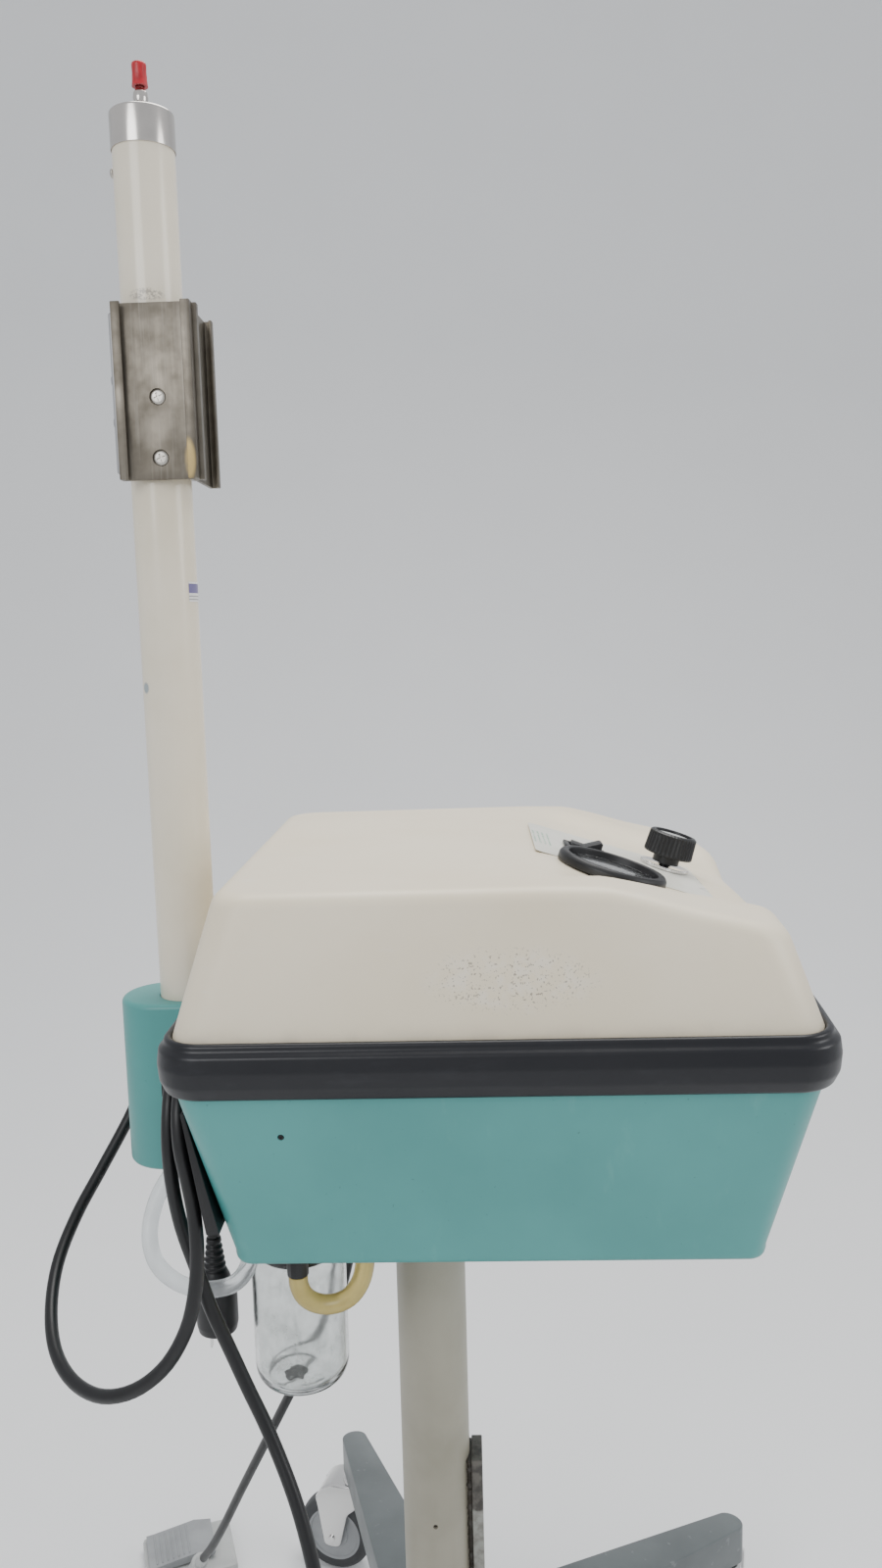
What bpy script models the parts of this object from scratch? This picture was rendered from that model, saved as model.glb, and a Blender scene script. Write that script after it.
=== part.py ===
"""Mobile veterinary gas unit: a two-part plastic housing on a column with a five-arm caster base,
a rear pole with a capped hose outlet and channel bracket, a glass trap jar, a knob, a gauge and cords.
Metres. +X is the machine's front, +Z is up, the floor is z = 0, the column stands at COLUMN_X.
"""
import math

import bmesh
import bpy
from mathutils import Matrix, Vector

# ---- driving dimensions, measured from the column's axis ----
COLUMN_X = 0.0500
GAP = 0.0003

COLUMN_R = 0.03175
COLUMN_FOOT = 0.2560

ARM_ANGLES = (36.0, 108.0, 180.0, 252.0, 324.0)
ARM_LENGTH = 0.4146
ARM_TOP_HUB = 0.2520
ARM_TOP_TIP = 0.1796
ARM_HALF_HUB = 0.0400
ARM_HALF_TIP = 0.0150
ARM_DEPTH = 0.0450
ARM_ROOT = 0.0600
SWIVEL_R = 0.4000
WHEEL_R = 0.0500
WHEEL_TRAIL = 0.0300
CASTER_TRAIL_DIR = (75.0, 165.0, 205.0, 200.0, 300.0)

BOX_BASE_Z = 0.7480
LOWER_TOP_Z = 0.9175
UPPER_BASE_Z = 0.9182
SKIRT_LOW_Z = 0.8950
SKIRT_TOP_Z = 0.9360
BOX_TOP_Z = 1.0370
RIM = (-0.1715, 0.3050, 0.2264)
RIM_CORNER = 0.0240
SHOULDER = (-0.1430, 0.2850, 0.1980)
FLOOR_RIM = (-0.1400, 0.2680, 0.1900)
FLOOR_CORNER = 0.0150
WALL = 0.0030

PANEL_X = 0.1050
PANEL_SLOPE = math.atan(0.311)

POLE_X = -0.2100
POLE_R = 0.0254
POLE_LOW = 0.7700
POLE_TOP = 1.6400
SOCKET_X = -0.2330
SOCKET_R = 0.0370
SOCKET_TOP = 0.9036
SOCKET_LOW = 0.7520

JAR_X = -0.1120
JAR_Y = -0.0600
JAR_R = 0.0410
JAR_BASE_Z = 0.5720
JAR_TOP_Z = 0.6960

CORD_R = 0.0055
CLEAR_R = 0.0072
YELLOW_R = 0.0080

for old in list(bpy.data.objects):
    bpy.data.objects.remove(old, do_unlink=True)

PART = bpy.data.collections.new("mobile_gas_unit")
CUTTERS = bpy.data.collections.new("cutters")
bpy.context.scene.collection.children.link(PART)
bpy.context.scene.collection.children.link(CUTTERS)

ROOT = bpy.data.objects.new("column_axis", None)
ROOT.location = (COLUMN_X, 0.0, 0.0)
PART.objects.link(ROOT)


# ---- materials ----
def make_material(name, color, roughness=0.5, metallic=0.0, transmission=0.0):
    mat = bpy.data.materials.new(name)
    mat.use_nodes = True
    shader = mat.node_tree.nodes["Principled BSDF"]
    shader.inputs["Base Color"].default_value = (*color, 1.0)
    shader.inputs["Roughness"].default_value = roughness
    shader.inputs["Metallic"].default_value = metallic
    shader.inputs["Transmission Weight"].default_value = transmission
    mat.diffuse_color = (*color, 1.0)
    return mat


BEIGE = (0.78, 0.72, 0.60)
TEAL = (0.16, 0.55, 0.52)
BLACK = (0.015, 0.015, 0.016)
STEEL = (0.55, 0.53, 0.50)
CHROME = (0.80, 0.80, 0.80)
GREY = (0.22, 0.24, 0.25)


# ---- makers ----
def finish(obj, name, color, roughness=0.5, metallic=0.0, transmission=0.0, parent=None):
    obj.name = name
    obj.data.name = name
    obj.data.materials.clear()
    obj.data.materials.append(make_material(name + "_mat", color, roughness, metallic, transmission))
    if parent is not None:
        obj.parent = parent
    return obj


def mesh_object(name, bm, location=(0, 0, 0), rotation=(0, 0, 0), collection=None):
    bmesh.ops.recalc_face_normals(bm, faces=bm.faces)
    mesh = bpy.data.meshes.new(name)
    bm.to_mesh(mesh)
    bm.free()
    obj = bpy.data.objects.new(name, mesh)
    obj.location = location
    obj.rotation_euler = rotation
    (collection or PART).objects.link(obj)
    return obj


def box(name, size, location=(0, 0, 0), rotation=(0, 0, 0), bevel=0.0, collection=None, offset=(0, 0, 0)):
    bm = bmesh.new()
    bmesh.ops.create_cube(bm, size=1.0)
    bmesh.ops.scale(bm, vec=size, verts=bm.verts)
    bmesh.ops.translate(bm, vec=offset, verts=bm.verts)
    obj = mesh_object(name, bm, location, rotation, collection)
    if bevel:
        add_bevel(obj, bevel)
    return obj


def add_bevel(obj, width, segments=2):
    mod = obj.modifiers.new("rounding", "BEVEL")
    mod.width = width
    mod.segments = segments
    mod.limit_method = "ANGLE"
    return mod


def turned(name, profile, location=(0, 0, 0), rotation=(0, 0, 0), steps=24, closed=False, collection=None):
    """A profile of (radius, height) points turned about local Z."""
    mesh = bpy.data.meshes.new(name)
    edges = [(i, i + 1) for i in range(len(profile) - 1)]
    if closed:
        edges.append((len(profile) - 1, 0))
    mesh.from_pydata([(r, 0.0, z) for r, z in profile], edges, [])
    obj = bpy.data.objects.new(name, mesh)
    obj.location = location
    obj.rotation_euler = rotation
    (collection or PART).objects.link(obj)
    mod = obj.modifiers.new("turning", "SCREW")
    mod.steps = steps
    mod.render_steps = steps
    mod.use_merge_vertices = True
    mod.merge_threshold = 0.00002
    mod.use_normal_calculate = False
    return obj


def ring_profile(inner, outer, low, high):
    return [(outer, high), (outer, low), (inner, low), (inner, high)]


def disc_profile(radius, low, high, edge=0.0):
    if not edge:
        return [(0.0, high), (radius, high), (radius, low), (0.0, low)]
    return [(0.0, high), (radius - edge, high), (radius, high - edge), (radius, low), (0.0, low)]


def plate(name, outline, half, location=(0, 0, 0), rotation=(0, 0, 0), holes=()):
    """A flat outline in local XY, extruded by +-half along local Z."""
    curve = bpy.data.curves.new(name, "CURVE")
    curve.dimensions = "2D"
    curve.fill_mode = "BOTH"
    curve.extrude = half
    for loop in (outline, *holes):
        spline = curve.splines.new("POLY")
        spline.points.add(len(loop) - 1)
        for point, (x, y) in zip(spline.points, loop):
            point.co = (x, y, 0.0, 1.0)
        spline.use_cyclic_u = True
    obj = bpy.data.objects.new(name, curve)
    obj.location = location
    obj.rotation_euler = rotation
    PART.objects.link(obj)
    return obj


def curve_to_mesh(obj):
    bpy.context.view_layer.update()
    deps = bpy.context.evaluated_depsgraph_get()
    mesh = bpy.data.meshes.new_from_object(obj.evaluated_get(deps))
    bm = bmesh.new()
    bm.from_mesh(mesh)
    bmesh.ops.remove_doubles(bm, verts=bm.verts, dist=0.000005)
    bmesh.ops.recalc_face_normals(bm, faces=bm.faces)
    bm.to_mesh(mesh)
    bm.free()
    name = obj.name
    solid = bpy.data.objects.new(name + "_solid", mesh)
    solid.matrix_world = obj.matrix_world
    PART.objects.link(solid)
    bpy.data.objects.remove(obj, do_unlink=True)
    solid.name = name
    return solid


def cut(obj, cutter, operation="DIFFERENCE"):
    cutter.hide_render = True
    cutter.display_type = "WIRE"
    for collection in list(cutter.users_collection):
        collection.objects.unlink(cutter)
    CUTTERS.objects.link(cutter)
    if cutter.parent is None:
        cutter.parent = obj.parent
    mod = obj.modifiers.new("cut_" + cutter.name, "BOOLEAN")
    mod.operation = operation
    mod.solver = "EXACT"
    mod.object = cutter
    return mod


def smooth_route(points, spacing):
    """Points at even spacing along a smooth curve through the given points."""
    pts = [Vector(p) for p in points]
    ends = [pts[0] * 2 - pts[1]] + pts + [pts[-1] * 2 - pts[-2]]
    dense = []
    for i in range(1, len(ends) - 2):
        a, b, c, d = ends[i - 1:i + 3]
        t1 = (b - a).length ** 0.5
        t2 = t1 + (c - b).length ** 0.5
        t3 = t2 + (d - c).length ** 0.5
        for k in range(24):
            t = t1 + (t2 - t1) * k / 24
            a1 = a * ((t1 - t) / t1) + b * (t / t1)
            a2 = b * ((t2 - t) / (t2 - t1)) + c * ((t - t1) / (t2 - t1))
            a3 = c * ((t3 - t) / (t3 - t2)) + d * ((t - t2) / (t3 - t2))
            b1 = a1 * ((t2 - t) / t2) + a2 * (t / t2)
            b2 = a2 * ((t3 - t) / (t3 - t1)) + a3 * ((t - t1) / (t3 - t1))
            dense.append(b1 * ((t2 - t) / (t2 - t1)) + b2 * ((t - t1) / (t2 - t1)))
    dense.append(pts[-1])
    total = sum((q - p).length for p, q in zip(dense, dense[1:]))
    count = max(2, round(total / spacing))
    step = total / count
    out = [dense[0]]
    run = 0.0
    for p, q in zip(dense, dense[1:]):
        length = (q - p).length
        while len(out) < count and run + length >= step * len(out):
            out.append(p.lerp(q, (step * len(out) - run) / length))
        run += length
    out.append(dense[-1])
    return out, total


def cord(name, points, radius, spacing, resolution=2):
    route, total = smooth_route(points, spacing)
    curve = bpy.data.curves.new(name, "CURVE")
    curve.dimensions = "3D"
    curve.bevel_depth = radius
    curve.bevel_resolution = resolution
    curve.use_fill_caps = True
    spline = curve.splines.new("POLY")
    spline.points.add(len(route) - 1)
    for point, place in zip(spline.points, route):
        point.co = (*place, 1.0)
    obj = bpy.data.objects.new(name, curve)
    PART.objects.link(obj)
    print(name, "length", round(total, 4), "points", len(route))
    return obj


# ---- housing shapes ----
def rim_outline(rim, corner, bow, x_cuts, y_cuts, arc=3):
    """Rounded rectangle walked from the rear-right corner's middle, four runs of even counts."""
    rear, front, half = rim
    runs = []

    def arc_points(cx, cy, start, end, skip_first):
        pts = []
        for k in range(arc + 1):
            if k == 0 and skip_first:
                continue
            a = math.radians(start + (end - start) * k / arc)
            pts.append((cx + corner * math.cos(a), cy + corner * math.sin(a)))
        return pts

    lx, hx = rear + corner, front - corner
    ly, hy = -half + corner, half - corner
    xs = [lx + (hx - lx) * c for c in x_cuts]
    ys = [ly + (hy - ly) * c for c in y_cuts]
    runs.append(arc_points(lx, ly, 225, 270, False) + [(x, -half) for x in xs]
                + arc_points(hx, ly, 270, 315, False))
    runs.append(arc_points(hx, ly, 315, 360, False) + [(front, y) for y in ys]
                + arc_points(hx, hy, 0, 45, False))
    runs.append(arc_points(hx, hy, 45, 90, False) + [(x, half) for x in reversed(xs)]
                + arc_points(lx, hy, 90, 135, False))
    runs.append(arc_points(lx, hy, 135, 180, False) + [(rear, y) for y in reversed(ys)]
                + arc_points(lx, ly, 180, 225, False))
    out = []
    for run in runs:
        bowed = []
        for x, y in run:
            share = max(0.0, (x - rear) / (front - rear))
            bowed.append((x - bow * share ** 3 * (y / half) ** 2, y))
        out.append(bowed)
    return out


def walk(runs):
    return [p for run in runs for p in run[:-1]]


X_CUTS = (0.12, 0.32, 0.5, 0.6, 0.7, 0.79, 0.88)
Y_CUTS = (0.06, 0.16, 0.27, 0.38, 0.5, 0.62, 0.73, 0.84, 0.94)


def smooth_step(t):
    t = min(1.0, max(0.0, t))
    return t * t * (3 - 2 * t)


CHEEK = ((-0.200, 1.0350), (0.100, 1.0375), (0.143, 1.0365), (0.1705, 1.0296), (0.2003, 1.0205),
         (0.2327, 1.0125), (0.2673, 1.0040), (0.2800, 0.9990), (0.3100, 0.9870))


def cheek_height(x):
    for (xa, za), (xb, zb) in zip(CHEEK, CHEEK[1:]):
        if x <= xb:
            return za + (zb - za) * (x - xa) / (xb - xa)
    return CHEEK[-1][1]


def roof_height(x, y):
    """The roof is flat behind PANEL_X; in front of it a sunk panel lies between raised cheeks."""
    cheek = cheek_height(x)
    panel = BOX_TOP_Z - math.tan(PANEL_SLOPE) * (x - PANEL_X)
    if panel >= cheek:
        return cheek
    along = (x - PANEL_X) / 0.17
    flat_half = 0.128 - 0.045 * along
    blend = 1.0 - smooth_step((abs(y) - flat_half) / 0.040)
    return cheek + (panel - cheek) * blend


def coons(runs):
    """Fill four boundary runs with an even grid."""
    south, east = runs[0], runs[1]
    north = list(reversed(runs[2]))
    west = list(reversed(runs[3]))
    nu, nv = len(south), len(east)
    rows = []
    for j in range(nv):
        v = j / (nv - 1)
        row = []
        for i in range(nu):
            u = i / (nu - 1)
            x, y = [
                (1 - v) * south[i][k] + v * north[i][k] + (1 - u) * west[j][k] + u * east[j][k]
                - ((1 - u) * (1 - v) * south[0][k] + u * (1 - v) * south[-1][k]
                   + (1 - u) * v * north[0][k] + u * v * north[-1][k])
                for k in (0, 1)
            ]
            row.append((x, y))
        rows.append(row)
    return rows


def grid_border(rows):
    south = [(0, i) for i in range(len(rows[0]))]
    east = [(j, len(rows[0]) - 1) for j in range(len(rows))]
    north = [(len(rows) - 1, i) for i in reversed(range(len(rows[0])))]
    west = [(j, 0) for j in reversed(range(len(rows)))]
    return [c for run in (south, east, north, west) for c in run[:-1]]


def inset(rim, by):
    return (rim[0] + by, rim[1] - by, rim[2] - by)


def shell_mesh(levels, roof_runs, roof_z):
    """Stacked outlines joined by walls and closed by a filled grid."""
    bm = bmesh.new()
    rings = [[bm.verts.new(p) for p in level] for level in levels]
    grid = coons(roof_runs)
    verts = [[bm.verts.new((x, y, roof_z(x, y))) for x, y in row] for row in grid]
    rings.append([verts[j][i] for j, i in grid_border(grid)])
    for low, high in zip(rings, rings[1:]):
        n = len(low)
        for k in range(n):
            bm.faces.new((low[k], low[(k + 1) % n], high[(k + 1) % n], high[k]))
    for ra, rb in zip(verts, verts[1:]):
        for i in range(len(ra) - 1):
            bm.faces.new((ra[i], ra[i + 1], rb[i + 1], rb[i]))
    return bm


def solidify(obj, thickness):
    mod = obj.modifiers.new("wall", "SOLIDIFY")
    mod.thickness = thickness
    mod.offset = -1.0
    mod.use_even_offset = True
    return mod


def build_upper_shell():
    base = walk(rim_outline(RIM, RIM_CORNER, 0.012, X_CUTS, Y_CUTS))
    edge_runs = rim_outline(SHOULDER, 0.028, 0.012, X_CUTS, Y_CUTS)
    edge = walk(edge_runs)
    top_runs = rim_outline(inset(SHOULDER, 0.010), 0.022, 0.012, X_CUTS, Y_CUTS)
    top = walk(top_runs)
    levels = [[(x, y, UPPER_BASE_Z) for x, y in base], [(x, y, SKIRT_TOP_Z) for x, y in base]]
    for t in (0.0, 0.55):
        level = []
        for (bx, by), (ex, ey), (tx, ty) in zip(base, edge, top):
            corner = Vector((ex, ey, roof_height(ex, ey)))
            foot = Vector((bx, by, SKIRT_TOP_Z))
            low = corner + (foot - corner).normalized() * 0.011
            high = Vector((tx, ty, roof_height(tx, ty)))
            level.append(low * (1 - t) ** 2 + corner * 2 * t * (1 - t) + high * t * t)
        levels.append([tuple(p) for p in level])
    bm = shell_mesh(levels, top_runs, roof_height)
    obj = mesh_object("upper_shell", bm)
    finish(obj, "upper_shell", BEIGE, 0.42, parent=ROOT)
    solidify(obj, WALL)
    return obj


def build_lower_shell():
    cuts = (0.25, 0.5, 0.75)
    rim = walk(rim_outline(RIM, RIM_CORNER, 0.012, cuts, cuts))
    floor_runs = rim_outline(inset(FLOOR_RIM, 0.006), FLOOR_CORNER - 0.006, 0.006, cuts, cuts)
    side = walk(rim_outline(FLOOR_RIM, FLOOR_CORNER, 0.006, cuts, cuts))
    levels = [[(x, y, LOWER_TOP_Z) for x, y in rim], [(x, y, SKIRT_LOW_Z) for x, y in rim],
              [(x, y, BOX_BASE_Z + 0.010) for x, y in side]]
    bm = shell_mesh(levels, floor_runs, lambda x, y: BOX_BASE_Z)
    obj = mesh_object("lower_shell", bm)
    finish(obj, "lower_shell", TEAL, 0.38, parent=ROOT)
    solidify(obj, WALL)
    return obj


def build_bumper():
    profile = ((0.0006, 0.8968), (0.0006, 0.9362), (0.0030, 0.9378), (0.0062, 0.9362), (0.0075, 0.9325),
               (0.0104, 0.9285), (0.0118, 0.9180), (0.0108, 0.9060), (0.0070, 0.8975), (0.0030, 0.8955))
    bm = bmesh.new()
    rings = []
    for off, z in profile:
        rim = (RIM[0] - off, RIM[1] + off, RIM[2] + off)
        ring = walk(rim_outline(rim, RIM_CORNER + off, 0.012, (0.33, 0.66), (0.25, 0.5, 0.75)))
        rings.append([bm.verts.new((x, y, z)) for x, y in ring])
    count = len(rings[0])
    for a, b in zip(rings, rings[1:] + rings[:1]):
        for k in range(count):
            bm.faces.new((a[k], a[(k + 1) % count], b[(k + 1) % count], b[k]))
    obj = mesh_object("bumper", bm)
    return finish(obj, "bumper", BLACK, 0.35, parent=ROOT)


def build_pole_socket():
    """Upright obround boss behind the rear wall, bored for the pole."""
    outline = [(SOCKET_X + SOCKET_R * math.cos(a), SOCKET_R * math.sin(a))
               for a in [math.radians(90 + 180 * k / 12) for k in range(13)]]
    outline += [(-0.100, -SOCKET_R), (-0.100, SOCKET_R)]
    height = SOCKET_TOP - SOCKET_LOW
    obj = plate("pole_socket", outline, height / 2, (0, 0, SOCKET_LOW + height / 2))
    obj = curve_to_mesh(obj)
    finish(obj, "pole_socket", TEAL, 0.38, parent=ROOT)
    bore = turned("socket_bore", disc_profile(POLE_R + 0.0006, SOCKET_LOW - 0.02, SOCKET_TOP + 0.02),
                  (POLE_X, 0, 0), steps=24)
    cut(obj, bore)
    clear = 0.0008
    side = [(FLOOR_RIM[0] - clear, BOX_BASE_Z - 0.02), (FLOOR_RIM[0] - clear, BOX_BASE_Z + 0.010),
            (RIM[0] - clear, SKIRT_LOW_Z), (RIM[0] - clear, 0.8946), (-0.1836, 0.8946),
            (-0.1836, SOCKET_TOP + 0.02), (-0.05, SOCKET_TOP + 0.02), (-0.05, BOX_BASE_Z - 0.02)]
    front = plate("socket_front", side, 0.08, (0, 0, 0), (math.radians(90), 0, 0))
    front = curve_to_mesh(front)
    cut(obj, front)
    return obj


def panel_point(along, across, out):
    c, s = math.cos(PANEL_SLOPE), math.sin(PANEL_SLOPE)
    return (PANEL_X + along * c + out * s, across, BOX_TOP_Z - along * s + out * c)


PANEL_TURN = (0.0, PANEL_SLOPE, 0.0)


def round_hole(obj, radius, place, turn=(0, 0, 0), reach=0.03, name="hole", steps=24):
    drill = turned(name, disc_profile(radius, -reach, reach), place, turn, steps=steps)
    cut(obj, drill)
    return drill


def build_housing():
    upper = build_upper_shell()
    lower = build_lower_shell()
    build_bumper()
    build_pole_socket()
    round_hole(upper, 0.0360, panel_point(*GAUGE, 0.0), PANEL_TURN, 0.02, "gauge_hole")
    round_hole(upper, 0.0060, panel_point(*KNOB, 0.0), PANEL_TURN, 0.02, "knob_hole", 16)
    slot = box("switch_hole", (0.0300, 0.0190, 0.04), panel_point(*SWITCH, 0.0), PANEL_TURN)
    cut(upper, slot)
    round_hole(lower, COLUMN_R + 0.0010, (0, 0, BOX_BASE_Z), name="column_hole")
    round_hole(lower, 0.0060, GAS_PORT, (0, math.radians(90), 0), 0.02, "gas_hole", 16)
    round_hole(lower, 0.0084, MAINS_PORT, (0, math.radians(90), 0), 0.02, "mains_hole", 16)
    round_hole(lower, 0.0084, (*FOOT_PORT, BOX_BASE_Z), name="foot_hole", steps=16)
    round_hole(lower, 0.0050, (*YELLOW_PORT, BOX_BASE_Z), name="yellow_hole", steps=16)
    for side in (-1, 1):
        round_hole(lower, 0.0024, (-0.094, side * 0.2170, 0.8630), (math.radians(90), 0, 0), 0.02,
                   "side_hole", 12)


# ---- control panel ----
GAUGE = (0.0575, -0.0700)
NEEDLE_ZERO = -45.0
KNOB = (0.1210, 0.0400)
SWITCH = (0.0420, 0.0040)


def build_gauge():
    centre = panel_point(*GAUGE, 0.0)
    case = [(0.0, -0.0030), (0.0325, -0.0030), (0.0325, 0.0020), (0.0350, 0.0020), (0.0350, -0.0300),
            (0.0080, -0.0300), (0.0080, -0.0420), (0.0, -0.0420)]
    obj = turned("gauge_case", case, centre, PANEL_TURN, steps=32)
    finish(obj, "gauge_case", (0.05, 0.05, 0.05), 0.4, parent=ROOT)
    ring = [(0.0380, 0.0098), (0.0430, 0.0098), (0.0455, 0.0070), (0.0455, 0.0010), (0.0353, 0.0010),
            (0.0353, 0.0030), (0.0370, 0.0030)]
    obj = turned("gauge_bezel", ring, centre, PANEL_TURN, steps=32, closed=True)
    finish(obj, "gauge_bezel", BLACK, 0.35, parent=ROOT)
    obj = turned("gauge_lens", disc_profile(0.0366, 0.0034, 0.0052), centre, PANEL_TURN, steps=32)
    finish(obj, "gauge_lens", (0.9, 0.92, 0.92), 0.05, transmission=0.9, parent=ROOT)
    outline = [(-0.0012, -0.007), (0.0012, -0.007), (0.0012, -0.002), (0.0004, 0.026), (-0.0004, 0.026),
               (-0.0012, -0.002)]
    obj = plate("gauge_needle", outline, 0.0003, panel_point(*GAUGE, -0.0012))
    obj.rotation_euler = (Matrix.Rotation(PANEL_SLOPE, 3, "Y")
                          @ Matrix.Rotation(math.radians(NEEDLE_ZERO - 90.0), 3, "Z")).to_euler()
    finish(obj, "gauge_needle", BLACK, 0.5, parent=ROOT)


def build_knob():
    centre = panel_point(*KNOB, 0.0)
    body = [(0.0, 0.0305), (0.0160, 0.0305), (0.0168, 0.0330), (0.0195, 0.0330), (0.0215, 0.0312),
            (0.0222, 0.0130), (0.0200, 0.0120), (0.0120, 0.0120), (0.0120, 0.0050), (0.0045, 0.0050),
            (0.0045, -0.0118), (0.0, -0.0118)]
    obj = turned("knob", body, centre, PANEL_TURN, steps=24)
    finish(obj, "knob", BLACK, 0.45, parent=ROOT)
    washer = ring_profile(0.0060, 0.0225, 0.0008, 0.0034)
    obj = turned("knob_washer", washer, centre, PANEL_TURN, steps=32, closed=True)
    finish(obj, "knob_washer", CHROME, 0.15, 1.0, parent=ROOT)
    valve = [(0.0, -0.0125), (0.0150, -0.0125), (0.0150, -0.0500), (0.0070, -0.0500), (0.0070, -0.0640),
             (0.0, -0.0640)]
    obj = turned("valve_body", valve, centre, PANEL_TURN, steps=16)
    finish(obj, "valve_body", (0.72, 0.56, 0.28), 0.3, 1.0, parent=ROOT)


def build_switch():
    frame = box("switch_frame", (0.0380, 0.0260, 0.0026), panel_point(*SWITCH, 0.0022), PANEL_TURN, 0.0006)
    finish(frame, "switch_frame", BLACK, 0.4, parent=ROOT)
    well = box("switch_well", (0.0290, 0.0180, 0.03), panel_point(*SWITCH, 0.0), PANEL_TURN)
    cut(frame, well)
    profile = [(-0.0135, 0.0018), (-0.0125, 0.0050), (-0.0010, 0.0042), (0.0110, 0.0110), (0.0135, 0.0105),
               (0.0135, 0.0010), (0.0060, -0.0080), (-0.0060, -0.0080)]
    rocker = plate("switch_rocker", profile, 0.0085, panel_point(*SWITCH, 0.0010),
                   (math.radians(90), 0, 0))
    rocker.rotation_euler = (Matrix.Rotation(PANEL_SLOPE, 3, "Y")
                             @ Matrix.Rotation(math.radians(90), 3, "X")).to_euler()
    finish(rocker, "switch_rocker", BLACK, 0.35, parent=ROOT)


# ---- inside the housing ----
def build_inside():
    motor = disc_profile(0.0440, -0.0650, 0.0650)
    pump = turned("vacuum_pump", motor, (0.030, 0.060, 0.8560), (math.radians(90), 0, 0), steps=24)
    finish(pump, "vacuum_pump", (0.30, 0.30, 0.31), 0.5, 0.6, parent=ROOT)
    head = box("pump_head", (0.090, 0.060, 0.085), (0.030, -0.0300, 0.8560))
    cut(pump, head, "UNION")
    feet = box("pump_feet", (0.110, 0.150, 0.010), (0.030, 0.010, 0.8095))
    cut(pump, feet, "UNION")


# ---- column and base ----
def build_column():
    top = 0.8021
    tube = [(0.0600, top + 0.0010), (0.0600, top - 0.006), (COLUMN_R, top - 0.006), (COLUMN_R, COLUMN_FOOT + 0.0003),
            (COLUMN_R - 0.003, COLUMN_FOOT + 0.0003), (COLUMN_R - 0.003, top + 0.0010)]
    obj = turned("column", tube, steps=32, closed=True)
    finish(obj, "column", BEIGE, 0.45, parent=ROOT)
    tray = box("chassis_tray", (0.3350, 0.3300, 0.0020), (0.0675, 0, 0.8032))
    cut(obj, tray, "UNION")
    drill = turned("column_pin_hole", disc_profile(0.0022, -0.01, 0.01), (-0.0007, -COLUMN_R, 0.400),
                   (math.radians(90), 0, 0), steps=12)
    cut(obj, drill)
    bar = box("column_bar", (0.0100, 0.0360, 0.2000), (0.0385, 0, 0.3560), bevel=0.0006)
    finish(bar, "column_bar", (0.30, 0.28, 0.26), 0.6, 0.5, parent=ROOT)


def arm_top(r):
    return ARM_TOP_HUB + (ARM_TOP_TIP - ARM_TOP_HUB) * r / ARM_LENGTH


def arm_half(r):
    return ARM_HALF_HUB + (ARM_HALF_TIP - ARM_HALF_HUB) * r / ARM_LENGTH


def build_arm(index, angle):
    """Inverted channel: a tapered top with rounded tip and two skirts, hollow underneath."""
    sheet = 0.0035

    def ring(inner, sink):
        cut_back = sheet if inner else 0.0
        reach = ARM_LENGTH + 0.006 - ARM_HALF_TIP
        start = ARM_ROOT + cut_back
        side = [(start, -(arm_half(start) - cut_back)), (0.24, -(arm_half(0.24) - cut_back)),
                (reach, -(ARM_HALF_TIP + 0.0005 - cut_back))]
        tip_r = ARM_HALF_TIP + 0.0005 - cut_back
        tip = [(reach + tip_r * math.sin(a), -tip_r * math.cos(a))
               for a in [math.radians(180 * k / 8) for k in range(1, 8)]]
        other = [(x, -y) for x, y in reversed(side)]
        return [(x, y, arm_top(x) - sink) for x, y in side + tip + other]

    bm = bmesh.new()
    levels = [ring(False, 0.0), ring(False, ARM_DEPTH), ring(True, ARM_DEPTH), ring(True, sheet)]
    loops = [[bm.verts.new(p) for p in level] for level in levels]
    n = len(loops[0])
    for a, b in zip(loops, loops[1:]):
        for k in range(n):
            bm.faces.new((a[k], b[k], b[(k + 1) % n], a[(k + 1) % n]))
    for loop in (loops[0], loops[-1]):
        half = n // 2
        for k in range(half):
            j = n - 1 - k
            if j - 1 > k + 1:
                bm.faces.new((loop[k], loop[k + 1], loop[j - 1], loop[j]))
            elif j - 1 == k + 1:
                bm.faces.new((loop[k], loop[k + 1], loop[j]))
    obj = mesh_object(f"base_arm_{index}", bm, rotation=(0, 0, math.radians(angle)))
    finish(obj, f"base_arm_{index}", GREY, 0.45, 0.3, parent=ROOT)
    drill = turned(f"arm_drill_{index}", disc_profile(0.0060, -0.03, 0.03), (SWIVEL_R, 0, arm_top(SWIVEL_R)),
                   steps=12)
    drill.parent = obj
    cut(obj, drill)
    return obj


def build_base():
    points = []
    for k in range(5):
        a = math.radians(ARM_ANGLES[k])
        half = math.radians(35.9)
        r = (ARM_ROOT - 0.0004) / math.cos(half)
        points.append((r * math.cos(a + half), r * math.sin(a + half)))
    obj = plate("base_hub", points, 0.0220, (0, 0, 0.2330))
    obj = curve_to_mesh(obj)
    finish(obj, "base_hub", GREY, 0.45, 0.3, parent=ROOT)
    add_bevel(obj, 0.0015, 1)
    for k, angle in enumerate(ARM_ANGLES):
        build_arm(k + 1, angle)


def build_casters():
    for k, angle in enumerate(ARM_ANGLES):
        a = math.radians(angle)
        swivel = (SWIVEL_R * math.cos(a), SWIVEL_R * math.sin(a), 0.0)
        build_caster(k + 1, swivel, math.radians(CASTER_TRAIL_DIR[k]))


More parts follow.
